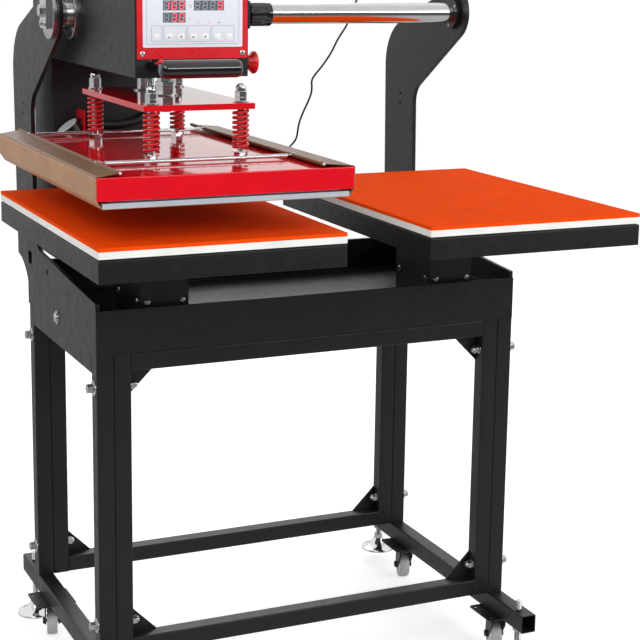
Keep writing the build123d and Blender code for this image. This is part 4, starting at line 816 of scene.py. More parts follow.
class Piece:
    """One piece of the press: meshes gathered under a few finishes."""

    def __init__(self, name: str, body: str) -> None:
        """Starts an empty piece.

        Args:
            name: The piece's name.
            body: The body that it rides on.
        """
        self.name = name
        self.body = body
        self.mesh = bmesh.new()
        self.finishes: list[Finish] = []

    def index(self, finish: Finish) -> int:
        """The place of a finish in this piece's list."""
        if finish not in self.finishes:
            self.finishes.append(finish)
        return self.finishes.index(finish)

    def take(self, part: Mesh) -> None:
        """Adds a mesh as it is and frees it."""
        carrier = bpy.data.meshes.new("carrier")
        part.to_mesh(carrier)
        part.free()
        self.mesh.from_mesh(carrier)
        bpy.data.meshes.remove(carrier)

    def add(self, part: Mesh, finish: Finish, place: Matrix | None = None) -> None:
        """Adds a mesh under one finish.

        Args:
            part: The mesh, which is used up.
            finish: Its finish.
            place: Where it goes, if it isn't there yet.
        """
        number = self.index(finish)
        for face in part.faces:
            face.material_index = number
        if place is not None:
            bmesh.ops.transform(part, matrix=place, verts=part.verts)
        self.take(part)

    def copy(self, node: str, choose: Chooser) -> list[tuple[Vector, Vector]]:
        """Adds a copy of a CAD node, solid by solid.

        Args:
            node: The CAD node.
            choose: Gives each solid's finish from its sorted sizes in millimetres and its
                middle, or None to leave that solid out.

        Returns:
            The lowest and highest corner of each solid that was left out.
        """
        part = bmesh.new()
        part.from_mesh(frame["nodes"][node].data)
        unwanted = []
        wanted = []
        boxes = []
        for group in groups(part):
            verts = list({vert: None for face in group for vert in face.verts})
            low = Vector(tuple(min(vert.co[axis] for vert in verts) for axis in range(3)))
            high = Vector(tuple(max(vert.co[axis] for vert in verts) for axis in range(3)))
            finish = choose(sorted(((high - low) / MM)[:]), (low + high) / 2)
            if finish is None:
                unwanted += group
                boxes.append((low, high))
                continue
            number = self.index(finish)
            for face in group:
                face.material_index = number
            wanted.append(verts)
        bmesh.ops.delete(part, geom=unwanted, context="FACES")
        for verts in wanted:
            bmesh.ops.remove_doubles(part, verts=verts, dist=WELD)
        bmesh.ops.dissolve_limit(part, angle_limit=math.radians(0.6), verts=part.verts,
                                 edges=part.edges, delimit={"MATERIAL"})
        self.take(part)
        return boxes

    def done(self, replaces: Sequence[str] = (), edge: float = 0.0,
             crease: float = 32.0) -> bpy.types.Object:
        """Args:
            replaces: The CAD nodes that it stands for.
            edge: The width of the rounding along its edges, in millimetres.
            crease: Edges that turn more than this many degrees stay crisp.

        Returns:
            The object.
        """
        thing = solid_object(self.mesh, self.name)
        for finish in self.finishes:
            thing.data.materials.append(material(finish))
        thing.data.shade_smooth()
        thing.data.set_sharp_from_angle(angle=math.radians(crease))
        if edge:
            rounding = thing.modifiers.new("edges", "BEVEL")
            rounding.width = edge * MM
            rounding.segments = 2
            rounding.limit_method = "ANGLE"
            rounding.angle_limit = math.radians(crease)
            rounding.use_clamp_overlap = False
            rounding.harden_normals = True
        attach(thing, self.body)
        if replaces:
            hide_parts(*replaces)
        LOG.info("%s: %d faces", self.name, len(thing.data.polygons))
        return thing


def dressed(node: str, finish: Finish, edge: float,
            choose: Chooser | None = None) -> bpy.types.Object:
    """A copy of a CAD node with rounded edges and its finish.

    Args:
        node: The CAD node.
        finish: The finish of every solid that the chooser doesn't settle.
        edge: The width of the rounding, in millimetres.
        choose: Gives single solids another finish.

    Returns:
        The object.
    """
    piece = Piece(f"{node}_dressed", body_of(node))
    piece.copy(node, choose or (lambda sizes, middle: finish))
    return piece.done([node], edge=edge)


Boxes = list[tuple[Vector, Vector]]


@dataclass
class Screws:
    """Screws with a domed head, a drive and a threaded shank, in millimetres."""

    head_height: float
    shank: float
    recess: Recess
    finish: Finish = FINISH.zinc
    pitch: float = 1.25

    def fit(self, piece: Piece, boxes: Boxes, inner: Sequence[float]) -> None:
        """Puts a screw in the place of each CAD screw.

        Args:
            piece: The piece that they belong to.
            boxes: The lowest and highest corner of each CAD screw.
            inner: A point that every head looks away from.
        """
        for low, high in boxes:
            size = high - low
            axis = max(range(3), key=lambda side: abs(
                size[side] - (sum(size) - size[side]) / 2
            ) - abs(size[(side + 1) % 3] - size[(side + 2) % 3]))
            diameter = size[(axis + 1) % 3]
            outward = 1.0 if abs(high[axis] - inner[axis]) > abs(low[axis] - inner[axis]) else -1.0
            seat = (low + high) / 2
            seat[axis] = (high if outward > 0 else low)[axis] - outward * self.head_height * MM
            direction = Vector((0.0, 0.0, 0.0))
            direction[axis] = outward
            head = screw_head(diameter, self.head_height * MM, self.recess)
            piece.add(head, self.finish, facing(direction, seat))
            length = size[axis] - self.head_height * MM
            ridges = thread(self.shank / 2 * MM, self.pitch * MM, 0.0, length)
            shank = spun([(0.0, 0.0), *ridges, (0.0, length)], 20)
            piece.add(shank, self.finish, facing(-direction, seat))


@dataclass
class Stand:
    """The bolted stand with its tray, side plates and pad supports, in millimetres."""

    tube_edge: float = 0.3
    sheet_edge: float = 0.9
    fastener: float = 20.0
    plate_screw: Screws = field(default_factory=lambda: Screws(5.0, 8.0, Recess.SOCKET))
    support_screw: Screws = field(default_factory=lambda: Screws(3.0, 6.0, Recess.SOCKET))

    def frames(self) -> None:
        """Dresses the tubes, their gussets and their bolts."""
        for node in ("left_side_frame", "right_side_frame", "front_frame", "rear_frame"):
            dressed(node, FINISH.frame, self.tube_edge)
        dressed("frame_bolts", FINISH.zinc, 0.45)
        dressed("foot_lock_nuts", FINISH.zinc, 0.5)

    def sheets(self) -> None:
        """Dresses the tray and the side plates with their screws."""
        dressed("base_tray", FINISH.frame, self.sheet_edge)
        for node in ("side_plate_left", "side_plate_right"):
            dressed(node, FINISH.frame, 0.6)
        piece = Piece("plate_screws_dressed", "root")
        boxes = piece.copy("plate_screws", lambda sizes, middle: FINISH.zinc if sizes[0] < 2 else None)
        self.plate_screw.fit(piece, boxes, (0.0, 0.0, 0.0))
        piece.done(["plate_screws"], edge=0.2)

    def supports(self) -> None:
        """Dresses the two pad supports with their screws."""
        for node in ("pad_support_left", "pad_support_right"):
            low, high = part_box(node)
            piece = Piece(f"{node}_dressed", "root")
            boxes = piece.copy(
                node, lambda sizes, middle: FINISH.frame if sizes[2] > self.fastener else None
            )
            self.support_screw.fit(piece, boxes, (low + high) / 2)
            piece.done([node], edge=0.4)

    def build(self) -> None:
        """Builds the whole stand."""
        self.frames()
        self.sheets()
        self.supports()


@dataclass
class Castors:
    """Four castors, in millimetres."""

    radius: float = 26.0
    width: float = 20.0
    bore: float = 4.1
    hub: float = 9.0
    rim: float = 19.5
    web: float = 6.6
    ribs: int = 6
    yaw: float = 15.0

    def wheel(self, place: str) -> None:
        """Builds one wheel with its tread, hub and ribs.

        Args:
            place: Where the castor sits, such as front_left.
        """
        node = f"castor_wheel_{place}"
        low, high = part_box(node)
        turn = math.radians(self.yaw)
        seat = facing((math.cos(turn), -math.sin(turn), 0.0), (low + high) / 2)
        half, rim = self.width / 2, self.rim
        piece = Piece(f"{node}_dressed", node)
        radius, shoulder, brim = self.radius, self.radius - 2.4, self.radius - 0.8
        tread = [(rim, -half), (shoulder, -half), (brim, -half + 1.2), (radius, -half + 3.4),
                 (radius, half - 3.4), (brim, half - 1.2), (shoulder, half), (rim, half)]
        core = [(self.bore, -half), (self.hub - 1, -half), (self.hub, -half + 1),
                (self.hub + 1, -self.web), (rim - 1.4, -self.web), (rim - 0.1, -half + 0.8),
                (rim - 0.1, half - 0.8), (rim - 1.4, self.web), (self.hub + 1, self.web),
                (self.hub, half - 1), (self.hub - 1, half), (self.bore, half)]
        for profile, finish in ((tread, FINISH.tread), (core, FINISH.hub)):
            piece.add(spun([(r * MM, h * MM) for r, h in profile], 64, ring=True), finish, seat)
        for step in range(self.ribs * 2):
            angle = math.tau * step / self.ribs
            face = 1 if step < self.ribs else -1
            rib = slab(((self.hub + 0.5) * MM, -0.9 * MM, face * (self.web - 0.3) * MM),
                       ((rim - 0.8) * MM, 0.9 * MM, face * (half - 1.4) * MM), 0.3 * MM)
            piece.add(rib, FINISH.hub, seat @ Matrix.Rotation(angle, 4, "Z"))
        piece.done([node])

    def build(self) -> None:
        """Builds the castors and dresses their plates and forks."""
        dressed("castor_plates", FINISH.frame, 0.4)
        for place in ("front_left", "front_right", "rear_left", "rear_right"):
            dressed(f"castor_fork_{place}", FINISH.frame, 0.35,
                    lambda sizes, middle: FINISH.zinc if sizes[1] < 15 else FINISH.frame)
            self.wheel(place)


@dataclass
class LevellingFeet:
    """Four plated feet with bell, neck, hexagon and threaded stem, in millimetres."""

    disc: float = 36.0
    rim: float = 4.0
    dome: float = 20.0
    neck: float = 11.0
    flats: float = 17.0
    hexagon: float = 10.0
    stem: float = 6.0
    pitch: float = 1.75

    def foot(self, node: str) -> None:
        """Builds one foot.

        Args:
            node: The CAD node that it stands for.
        """
        low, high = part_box(node)
        middle = (low + high) / 2
        seat = Matrix.Translation((middle.x, middle.y, low.z))
        top = self.rim + self.dome
        piece = Piece(f"{node}_dressed", node)
        steps = [part / 8 for part in range(1, 9)]
        bell = [(self.disc + (self.neck - self.disc) * share - 4.0 * math.sin(math.pi * share),
                 self.rim + self.dome * (share + share * share) / 2) for share in steps]
        profile = [(0, 0), (self.disc - 1, 0), (self.disc, 1), (self.disc, self.rim - 1),
                   (self.disc - 0.6, self.rim), *bell[:-1], (self.neck, top - 1),
                   (self.neck - 1, top), (0, top)]
        piece.add(spun([(r * MM, h * MM) for r, h in profile], 64), FINISH.chrome, seat)
        nut = prism(polygon(6, self.flats * MM), self.hexagon * MM, 0.5 * MM)
        piece.add(nut, FINISH.zinc, seat @ Matrix.Translation((0, 0, top * MM)))
        start = (top + self.hexagon) * MM
        ridges = thread(self.stem * MM, self.pitch * MM, start, high.z - low.z - 0.6 * MM)
        stem = [(0.0, start), *ridges, ((self.stem - 1.2) * MM, high.z - low.z),
                (0.0, high.z - low.z)]
        piece.add(spun(stem, 32), FINISH.zinc, seat)
        piece.done([node], crease=40)

    def build(self) -> None:
        """Builds the four feet."""
        for node in ("front_left", "front_right", "rear_left", "rear_right"):
            self.foot(f"levelling_foot_{node}")


@dataclass
class Pads:
    """The two lower pads: box, heat board and silicone sheet, in millimetres."""

    box_edge: float = 0.4
    board_edge: float = 0.5
    sheet_edge: float = 0.9

    def build(self) -> None:
        """Builds both pads."""
        for side in ("left", "right"):
            dressed(f"pad_box_{side}", FINISH.frame, self.box_edge)
        dressed("pad_boards", FINISH.board, self.board_edge)
        sheets = dressed("silicone_pads", FINISH.silicone, self.sheet_edge)


@dataclass
class CrossSlide:
    """The cross bar with its clamp and socket, the head's bearings and the lower guide."""

    bar_chamfer: float = 1.0
    ring_screw: Screws = field(default_factory=lambda: Screws(2.0, 5.0, Recess.SOCKET))
    clamp_screw: Screws = field(default_factory=lambda: Screws(4.0, 6.0, Recess.SOCKET))
    socket_screw: Screws = field(default_factory=lambda: Screws(2.0, 4.0, Recess.CROSS))

    def bar(self) -> None:
        """Builds the ground and plated bar."""
        low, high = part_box("cross_bar")
        radius, length = (high.z - low.z) / 2, high.x - low.x
        chamfer = self.bar_chamfer * MM
        profile = [(0.0, 0.0), (radius - chamfer, 0.0), (radius, chamfer),
                   (radius, length - chamfer), (radius - chamfer, length), (0.0, length)]
        piece = Piece("cross_bar_dressed", "root")
        middle = (low + high) / 2
        piece.add(spun(profile, 96), FINISH.bar_chrome,
                  facing((1, 0, 0), (low.x, middle.y, middle.z)))
        piece.done(["cross_bar"])

    def ends(self) -> None:
        """Dresses the clamp at the left end and the socket at the right end."""
        piece = Piece("bar_end_clamp_dressed", "root")
        boxes = piece.copy("bar_end_clamp", self.clamp_finish)
        self.clamp_screw.fit(piece, boxes, (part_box("bar_end_clamp")[1].x, 0.0, 0.0))
        piece.done(["bar_end_clamp"], edge=0.7)
        piece = Piece("bar_socket_dressed", "root")
        boxes = piece.copy(
            "bar_socket", lambda sizes, middle: FINISH.fitting if sizes[2] > 20 else None
        )
        self.socket_screw.fit(piece, boxes, (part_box("bar_socket")[1].x, 0.0, 0.0))
        piece.done(["bar_socket"], edge=0.5)

    def clamp_finish(self, sizes: list[float], middle: Vector) -> Finish | None:
        """The finish of one solid of the clamp.

        Args:
            sizes: Its sorted sizes, in millimetres.
            middle: Its middle, which is not used.

        Returns:
            The finish, or None for a screw.
        """
        if sizes[2] > 70:
            return FINISH.steel
        if sizes[2] > 40:
            return FINISH.aluminium
        return FINISH.zinc if sizes[0] < 9 and sizes[1] > 15 else None

    def bearings(self) -> None:
        """Dresses the sleeve and the two rings on the head."""
        low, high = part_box("bar_bearings")
        piece = Piece("bar_bearings_dressed", "head")
        boxes = piece.copy(
            "bar_bearings", lambda sizes, middle: FINISH.steel if sizes[1] > 50 else None
        )
        self.ring_screw.fit(piece, boxes, (low + high) / 2)
        piece.done(["bar_bearings"], edge=0.4)

    def guide(self) -> None:
        """Dresses the lower guide rail and the shoe that runs on it."""
        dressed("lower_guide_rail", FINISH.steel, 0.5,
                lambda sizes, middle: FINISH.zinc if sizes[2] < 25 else FINISH.steel)
        dressed("guide_shoe", FINISH.nylon, 0.8)

    def build(self) -> None:
        """Builds the whole slide."""
        self.bar()
        self.ends()
        self.bearings()
        self.guide()


@dataclass
class Head:
    """The head's sheet cover, column, handle and the fittings on its right wall."""

    ring_radius: float = 15.0
    ring_width: float = 4.0
    ring_height: float = 0.8

    def build(self) -> None:
        """Dresses the head."""
        dressed("head_shell", FINISH.shell, 0.8)
        dressed("rear_column", FINISH.shell, 0.8)
        dressed("head_frame", FINISH.frame, 0.4)
        dressed("handle", FINISH.grip, 0.0)
        dressed("thumb_button", FINISH.button, 0.0)
        dressed("stop_button", FINISH.button, 0.0)
        dressed("side_fittings", FINISH.fitting, 0.5)
        dressed("regulator_knob", FINISH.grip, 0.3)
        self.knob_ring()

    def knob_ring(self) -> None:
        """Builds the bright ring behind the regulator knob."""
        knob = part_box("regulator_knob")
        outer, width = self.ring_radius * MM, self.ring_width * MM
        height = self.ring_height * MM
        profile = [(outer - width, 0.0), (outer, 0.0), (outer, height), (outer - width, height)]
        piece = Piece("knob_ring", "head")
        middle = (knob[0] + knob[1]) / 2
        piece.add(spun(profile, 48, ring=True), FINISH.chrome,
                  facing((1, 0, 0), (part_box("side_fittings")[1].x, middle.y, middle.z)))
        piece.done()


@dataclass
class AirSystem:
    """The cylinder, its fittings, the valve and the power inlet on the head."""

    thin: float = 12.0

    def cylinder_finish(self, sizes: list[float], middle: Vector) -> Finish:
        """The finish of one solid of the cylinder.

        Args:
            sizes: Its sorted sizes, in millimetres.
            middle: Its middle, which is not used.

        Returns:
            The finish.
        """
        if sizes[2] < 25:
            return FINISH.zinc
        if sizes[1] < self.thin:
            return FINISH.steel
        return FINISH.fitting if sizes[0] < 30 else FINISH.aluminium

    def build(self) -> None:
        """Dresses the air system."""
        dressed("air_cylinder", FINISH.aluminium, 0.5, self.cylinder_finish)
        dressed("air_fittings", FINISH.fitting, 0.5,
                lambda sizes, middle: FINISH.aluminium if sizes[2] > 55 else FINISH.fitting)
        dressed("power_inlet", FINISH.fitting, 0.4)


@dataclass
class ControlFront:
    """The red front with its screws and the keypad with its displays, in millimetres."""

    screw: Screws = field(default_factory=lambda: Screws(2.5, 4.0, Recess.CROSS, FINISH.chrome, 0.8))
    window_height: float = 15.5
    upper: float = 64.2
    lower: float = 45.8
    temperature: tuple[float, float] = (-31.0, 37.0)
    counter: tuple[float, float] = (26.0, 50.0)
    digit_height: float = 11.6
    digit_width: float = 7.2
    bar: float = 1.5
    slant: float = 0.10
    key_pitch: float = 19.9
    key_height: float = 16.0
    group_low: float = 8.6
    group_high: float = 33.5
    group_line: float = 0.4
    lamps: tuple[tuple[float, float], ...] = ((8.0, 1.1), (26.4, 1.1), (42.7, 1.1))
    lamp_height: float = 38.0
    relief: float = 0.12

    segments = {
        "0": "abcdef", "1": "bc", "3": "abgcd", "6": "afgedc", "9": "abfgcd", " ": "",
    }

    def __post_init__(self) -> None:
        """Finds the keypad on the head."""
        self.low, self.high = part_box("keypad")
        self.middle = (self.low.x + self.high.x) / 2
        self.face = self.high.y - 1.2 * MM

    def flat(self, piece: Piece, outline: Sequence[tuple[float, float]], finish: Finish,
             depth: float = 0.0, relief: float | None = None) -> None:
        """Adds a thin raised shape on the keypad.

        Args:
            piece: The piece that it joins.
            outline: Points across and up, from the keypad's lower middle.
            finish: Its finish.
            depth: How far behind the keypad's face it starts.
            relief: How thick it is, if not the usual relief.
        """
        shape = prism([(x * MM, z * MM) for x, z in outline], (relief or self.relief) * MM)
        place = Matrix.Translation((self.middle, self.face + depth * MM, self.low.z))
        piece.add(shape, finish, place @ Matrix.Rotation(math.pi / 2, 4, "X"))

    def digit(self, piece: Piece, text: str, x: float, z: float) -> None:
        """Adds the seven bars of one digit.

        Args:
            piece: The piece that they join.
            text: The digit that glows, or a space.
            x: The digit's middle, across.
            z: The digit's middle, up.
        """
        half, tall, bar = self.digit_width / 2, self.digit_height / 2, self.bar / 2
        ends = {
            "a": ((-half, tall), (half, tall)), "b": ((half, tall), (half, 0.0)),
            "c": ((half, 0.0), (half, -tall)), "d": ((-half, -tall), (half, -tall)),
            "e": ((-half, 0.0), (-half, -tall)), "f": ((-half, tall), (-half, 0.0)),
            "g": ((-half, 0.0), (half, 0.0)),
        }
        half -= bar
        for name, (start, end) in ends.items():
            first, last = Vector(start), Vector(end)
            along = (last - first).normalized()
            side = Vector((-along.y, along.x)) * bar
            first, last = first + along * bar * 1.15, last - along * bar * 1.15
            tip = along * bar
            corners = [first - tip * 0.9, first + side, last + side, last + tip * 0.9,
                       last - side, first - side]
            outline = [(x + point.x + point.y * self.slant, z + point.y) for point in corners]
            lit = name in self.segments[text]
            self.flat(piece, outline, FINISH.lit if lit else FINISH.unlit, depth=0.35)

    def display(self, piece: Piece, text: str, place: tuple[float, float], z: float) -> None:
        """Adds one window with its digits.

        Args:
            piece: The piece that they join.
            text: What the display shows.
            place: The window's middle, across, and its width.
            z: The window's middle, up.
        """
        middle, width = place
        half, tall = width / 2 - 0.15, self.window_height / 2 - 0.15
        outline = [(middle - half, z - tall), (middle + half, z - tall),
                   (middle + half, z + tall), (middle - half, z + tall)]
        self.flat(piece, outline, FINISH.glass, depth=0.42)
        pitch = width / len(text)
        for step, letter in enumerate(text):
            self.digit(piece, letter, middle + pitch * (step - (len(text) - 1) / 2), z)

    def frame_line(self, piece: Piece, x0: float, x1: float, z0: float, z1: float,
                   corner: float = 1.4) -> None:
        """Adds a thin outline with round corners.

        Args:
            piece: The piece that it joins.
            x0: Its left side.
            x1: Its right side.
            z0: Its lower side.
            z1: Its upper side.
            corner: The radius of its corners.
        """
        line = self.group_line
        rings = []
        for inset in (0.0, line):
            ring = []
            for step in range(16):
                angle = math.pi / 2 * (step % 4) / 3 + math.pi / 2 * (step // 4)
                centre_x = (x1 if step // 4 in (0, 3) else x0)
                centre_z = (z1 if step // 4 in (0, 1) else z0)
                centre_x += -corner if centre_x == x1 else corner
                centre_z += -corner if centre_z == z1 else corner
                radius = corner - inset
                ring.append((centre_x + radius * math.cos(angle), centre_z + radius * math.sin(angle)))
            rings.append(ring)
        outer, inner = rings
        for step in range(16):
            following = (step + 1) % 16
            self.flat(piece, [outer[step], outer[following], inner[following], inner[step]],
                      FINISH.ink)

    def words(self, piece: Piece, text: str, size: float, x: float, z: float, finish: Finish) -> None:
        """Adds printed signs such as a unit.

        Args:
            piece: The piece that they join.
            text: The signs.
            size: Their height.
            x: Their middle, across.
            z: Their base line, up.
            finish: Their ink.
        """
        curve = bpy.data.curves.new("signs", "FONT")
        curve.body, curve.size, curve.align_x, curve.extrude = text, size * MM, "CENTER", 0.05 * MM
        thing = bpy.data.objects.new("signs", curve)
        bpy.context.scene.collection.objects.link(thing)
        view = bpy.context.evaluated_depsgraph_get()
        mesh = bmesh.new()
        mesh.from_mesh(thing.evaluated_get(view).to_mesh())
        bpy.data.objects.remove(thing)
        bpy.data.curves.remove(curve)
        bmesh.ops.remove_doubles(mesh, verts=mesh.verts, dist=0.0005 * MM)
        place = Matrix.Translation((self.middle + x * MM, self.face - 0.02 * MM, self.low.z + z * MM))
        piece.add(mesh, finish, place @ Matrix.Rotation(math.pi / 2, 4, "X"))

    def arrow(self, piece: Piece, x: float, up: float) -> None:
        """Adds a solid arrow on a key.

        Args:
            piece: The piece that it joins.
            x: The key's middle, across.
            up: 1 if it points up, and -1 if not.
        """
        wide, tall, z = 1.9, 1.5 * up, self.key_height
        self.flat(piece, [(x - wide * up, z - tall), (x + wide * up, z - tall), (x, z + tall)],
                  FINISH.mark, depth=-0.4)

    def key_face(self, piece: Piece, x: float) -> None:
        """Adds the light face of one key.

        Args:
            piece: The piece that it joins.
            x: The key's middle, across.
        """
        shape = slab(((x - 5.3) * MM, (self.key_height - 4.3) * MM, 0.0),
                     ((x + 5.3) * MM, (self.key_height + 4.3) * MM, 0.46 * MM), 0.2 * MM)
        place = Matrix.Translation((self.middle, self.face, self.low.z))
        piece.add(shape, FINISH.key, place @ Matrix.Rotation(math.pi / 2, 4, "X"))

    def keypad(self) -> None:
        """Builds what is printed on the keypad and what lies behind its windows."""
        dressed("keypad", FINISH.overlay, 0.15)
        piece = Piece("keypad_displays", "head")
        self.display(piece, "169", self.temperature, self.upper)
        self.display(piece, " 30", self.temperature, self.lower)
        self.display(piece, "   9", self.counter, self.upper)
        piece.done()
        piece = Piece("keypad_print", "head")
        for step in range(7):
            self.key_face(piece, self.key_pitch * (step - 3))
        for step, up in ((1, 1), (2, -1), (3, 1), (4, -1)):
            self.arrow(piece, self.key_pitch * (step - 3), up)
        for first, last in ((0, 0), (1, 2), (3, 4), (5, 6)):
            start = self.key_pitch * (first - 3) - 8.6
            end = self.key_pitch * (last - 3) + 8.6
            self.frame_line(piece, start, end, self.group_low, self.group_high)
        self.frame_line(piece, -76.0, 76.0, 5.0, 94.0, 2.0)
        for (x, radius), finish in zip(self.lamps, (FINISH.lit, FINISH.lit, FINISH.mark)):
            outline = [(x + radius * math.cos(math.tau * step / 16),
                        self.lamp_height + radius * math.sin(math.tau * step / 16))
                       for step in range(16)]
            self.flat(piece, outline, finish)
        self.words(piece, "°C", 6.0, -5.4, self.upper - 3.0, FINISH.ink)
        self.words(piece, "s", 6.0, -6.4, self.lower - 3.0, FINISH.ink)
        piece.done()

    def build(self) -> None:
        """Builds the whole control front."""
        piece = Piece("front_panel_dressed", "head")
        boxes = piece.copy("front_panel", lambda sizes, middle: FINISH.panel if sizes[2] > 50 else None)
        self.screw.fit(piece, boxes, (0.0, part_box("front_panel")[1].y + 1.0, 0.0))
        piece.done(["front_panel"], edge=0.5)
        self.keypad()


@dataclass
class PressTrain:
    """The rods, the mid plate and the die springs, in millimetres."""

    turns: float = 8.0
    wire: float = 5.7
    travel: float = 6.0

    def springs(self) -> None:
        """Builds the four die springs."""
        low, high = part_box("die_springs")
        piece = Piece("die_springs_dressed", "press")
        source = bmesh.new()
        source.from_mesh(frame["nodes"]["die_springs"].data)
        height = high.z - low.z
        for group in groups(source):
            places = [vert.co for face in group for vert in face.verts]
            left, right = min(p.x for p in places), max(p.x for p in places)
            front, back = min(p.y for p in places), max(p.y for p in places)
            wire = self.wire * MM
            length = height - wire
            spring = coil((right - left - wire) / 2, wire, length / self.turns, length, 32, 14)
            seat = ((left + right) / 2, (front + back) / 2, low.z + wire / 2)
            piece.add(spring, FINISH.spring, Matrix.Translation(seat))
        source.free()
        thing = piece.done(["die_springs"], crease=50)
        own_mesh(thing)

    def build(self) -> None:
        """Builds the press train."""
        dressed("press_rods", FINISH.chrome, 0.5)
        dressed("mid_plate", FINISH.enamel, 0.6)
        self.springs()


@dataclass
class Platen:
    """The heated platen with its cloth, tension springs and terminal, in millimetres."""

    cloth: float = 0.5
    skin_gap: float = 0.15
    hem_gap: float = 0.5
    spring_wire: float = 1.1
    spring_pitch: float = 1.32
    rows: int = 72

    def wrap(self) -> list[tuple[float, float]]:
        """The cloth's middle line round the platen, from the left hem to the right hem."""
        low, high = (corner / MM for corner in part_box("platen_cover"))
        heater, top = (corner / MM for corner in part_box("heater_plate"))
        tension, end = (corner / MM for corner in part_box("sheet_tensioners"))
        off = self.cloth / 2 + self.skin_gap
        rod = (tension.z + end.z) / 2
        reach = 2.5 + self.hem_gap
        loop = [math.radians(step) for step in range(-90, 181, 30)]
        left_rod, right_rod = tension.x + 2.5, end.x - 2.5
        left = [(left_rod + reach * math.cos(angle), rod + reach * math.sin(angle))
                for angle in loop]
        right = [(right_rod - reach * math.cos(angle), rod + reach * math.sin(angle))
                 for angle in loop]
        body = [
            (low.x + 6.0, high.z + 1.2), (low.x + 1.0, high.z + 0.7), (low.x - off, high.z - 0.6),
            (low.x - off, high.z - 6.0), (low.x - off, low.z + 1.0),
            (heater.x - off * 0.5, heater.z - off), (heater.x + 4.0, heater.z - off),
            (top.x - 4.0, heater.z - off), (top.x + off * 0.5, heater.z - off),
            (high.x + off, low.z + 1.0), (high.x + off, high.z - 6.0),
            (high.x + off, high.z - 0.6), (high.x - 1.0, high.z + 0.7),
            (high.x - 6.0, high.z + 1.2),
        ]
        return [*left, *body, *reversed(right)]

    def sheet(self) -> None:
        """Builds the coated cloth that is pulled round the platen."""
        low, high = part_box("release_sheet")
        line = self.wrap()
        mesh = bmesh.new()
        verts = [mesh.verts.new((x * MM, low.y, z * MM)) for x, z in line]
        edges = [mesh.edges.new(pair) for pair in zip(verts, verts[1:])]
        depth = high.y - low.y
        geometry = verts + edges
        for _ in range(self.rows):
            made = bmesh.ops.extrude_edge_only(
                mesh, edges=[part for part in geometry if isinstance(part, bmesh.types.BMEdge)]
            )["geom"]
            moved = [part for part in made if isinstance(part, bmesh.types.BMVert)]
            bmesh.ops.translate(mesh, verts=moved, vec=(0.0, depth / self.rows, 0.0))
            geometry = [part for part in made
                        if isinstance(part, (bmesh.types.BMEdge, bmesh.types.BMVert))
                        and not (isinstance(part, bmesh.types.BMEdge) and len(part.link_faces) > 1)]
        bmesh.ops.recalc_face_normals(mesh, faces=mesh.faces)
        piece = Piece("release_sheet_dressed", "platen")
        # The cloth is painted darker above the cover's top, as painted shade.
        piece.add(mesh, replace(FINISH.cloth, painted_shade_height=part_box("platen_cover")[1].z))
        thing = piece.done(["release_sheet"], crease=60)
        thickness = thing.modifiers.new("thickness", "SOLIDIFY")
        thickness.thickness = self.cloth * MM
        thickness.offset = 0.0

    def tensioners(self) -> None:
        """Builds the hem rods and the two long tension springs with their hooks."""
        piece = Piece("sheet_tensioners_dressed", "platen")
        boxes = piece.copy("sheet_tensioners", lambda sizes, middle: None)
        rods = sorted((box for box in boxes if box[1].y - box[0].y > 0.1), key=lambda box: box[0].x)
        for low, high in rods:
            radius, length = (high.x - low.x) / 2, high.y - low.y
            dome = [(radius * math.cos(angle), radius * math.sin(angle))
                    for angle in (math.pi / 2 * step / 5 for step in range(6))]
            profile = [(0.0, 0.0)]
            profile += [(r, radius - h) for r, h in reversed(dome)][1:]
            profile += [(r, length - radius + h) for r, h in dome][:-1]
            profile += [(0.0, length)]
            piece.add(spun(profile, 20), FINISH.chrome,
                      facing((0, 1, 0), ((low.x + high.x) / 2, low.y, (low.z + high.z) / 2)))
        for low, high in boxes:
            if high.x - low.x < 0.1:
                continue
            middle = (low + high) / 2
            wire, radius = self.spring_wire * MM, (high.z - low.z) / 2
            hook = 9.0 * MM
            length = high.x - low.x - 2 * hook
            spring = coil(radius - wire / 2, wire, self.spring_pitch * MM, length, 10, 6)
            piece.add(spring, FINISH.chrome,
                      facing((1, 0, 0), (low.x + hook, middle.y, middle.z)))
            for end, inward in ((low.x, 1.0), (high.x, -1.0)):
                self.hook(piece, Vector((end, middle.y, middle.z)), inward, hook, wire)
        piece.done(["sheet_tensioners"], crease=50)

    def hook(self, piece: Piece, end: Vector, inward: float, length: float, wire: float) -> None:
        """Adds the wire hook at one end of a tension spring.

        Args:
            piece: The piece that it joins.
            end: Where the spring meets the hem rod.
            inward: 1 if the spring lies towards +X, and -1 if not.
            length: From the coils to the rod.
            wire: The wire's thickness.
        """
        reach = 3.9 * MM
        rod = end - Vector((inward * 2.5 * MM, 0.0, 0.0))
        path = [end + Vector((inward * length, 0.0, 0.0)),
                end + Vector((inward * length * 0.6, 0.0, 1.2 * MM))]
        for step in range(9):
            angle = math.radians(35 + 20 * step)
            path.append(rod + Vector((inward * reach * math.cos(angle), 0.0,
                                      reach * math.sin(angle))))
        piece.add(tube(path, [wire / 2] * len(path), 8), FINISH.chrome)

    def terminal_finish(self, sizes: list[float], middle: Vector) -> Finish:
        """The finish of one solid of the heater's terminal.

        Args:
            sizes: Its sorted sizes, in millimetres.
            middle: Its middle, which is not used.

        Returns:
            The finish.
        """
        if sizes[0] < 4:
            return FINISH.enamel
        return FINISH.porcelain if 39 < sizes[2] < 41 else FINISH.fitting

    def build(self) -> None:
        """Builds the platen."""
        dressed("platen_cover", FINISH.enamel, 0.5)
        dressed("heater_plate", FINISH.heater, 0.5)
        dressed("spring_bolts", FINISH.chrome, 0.35)
        self.sheet()
        self.tensioners()
        dressed("heater_terminal", FINISH.fitting, 0.4, self.terminal_finish)


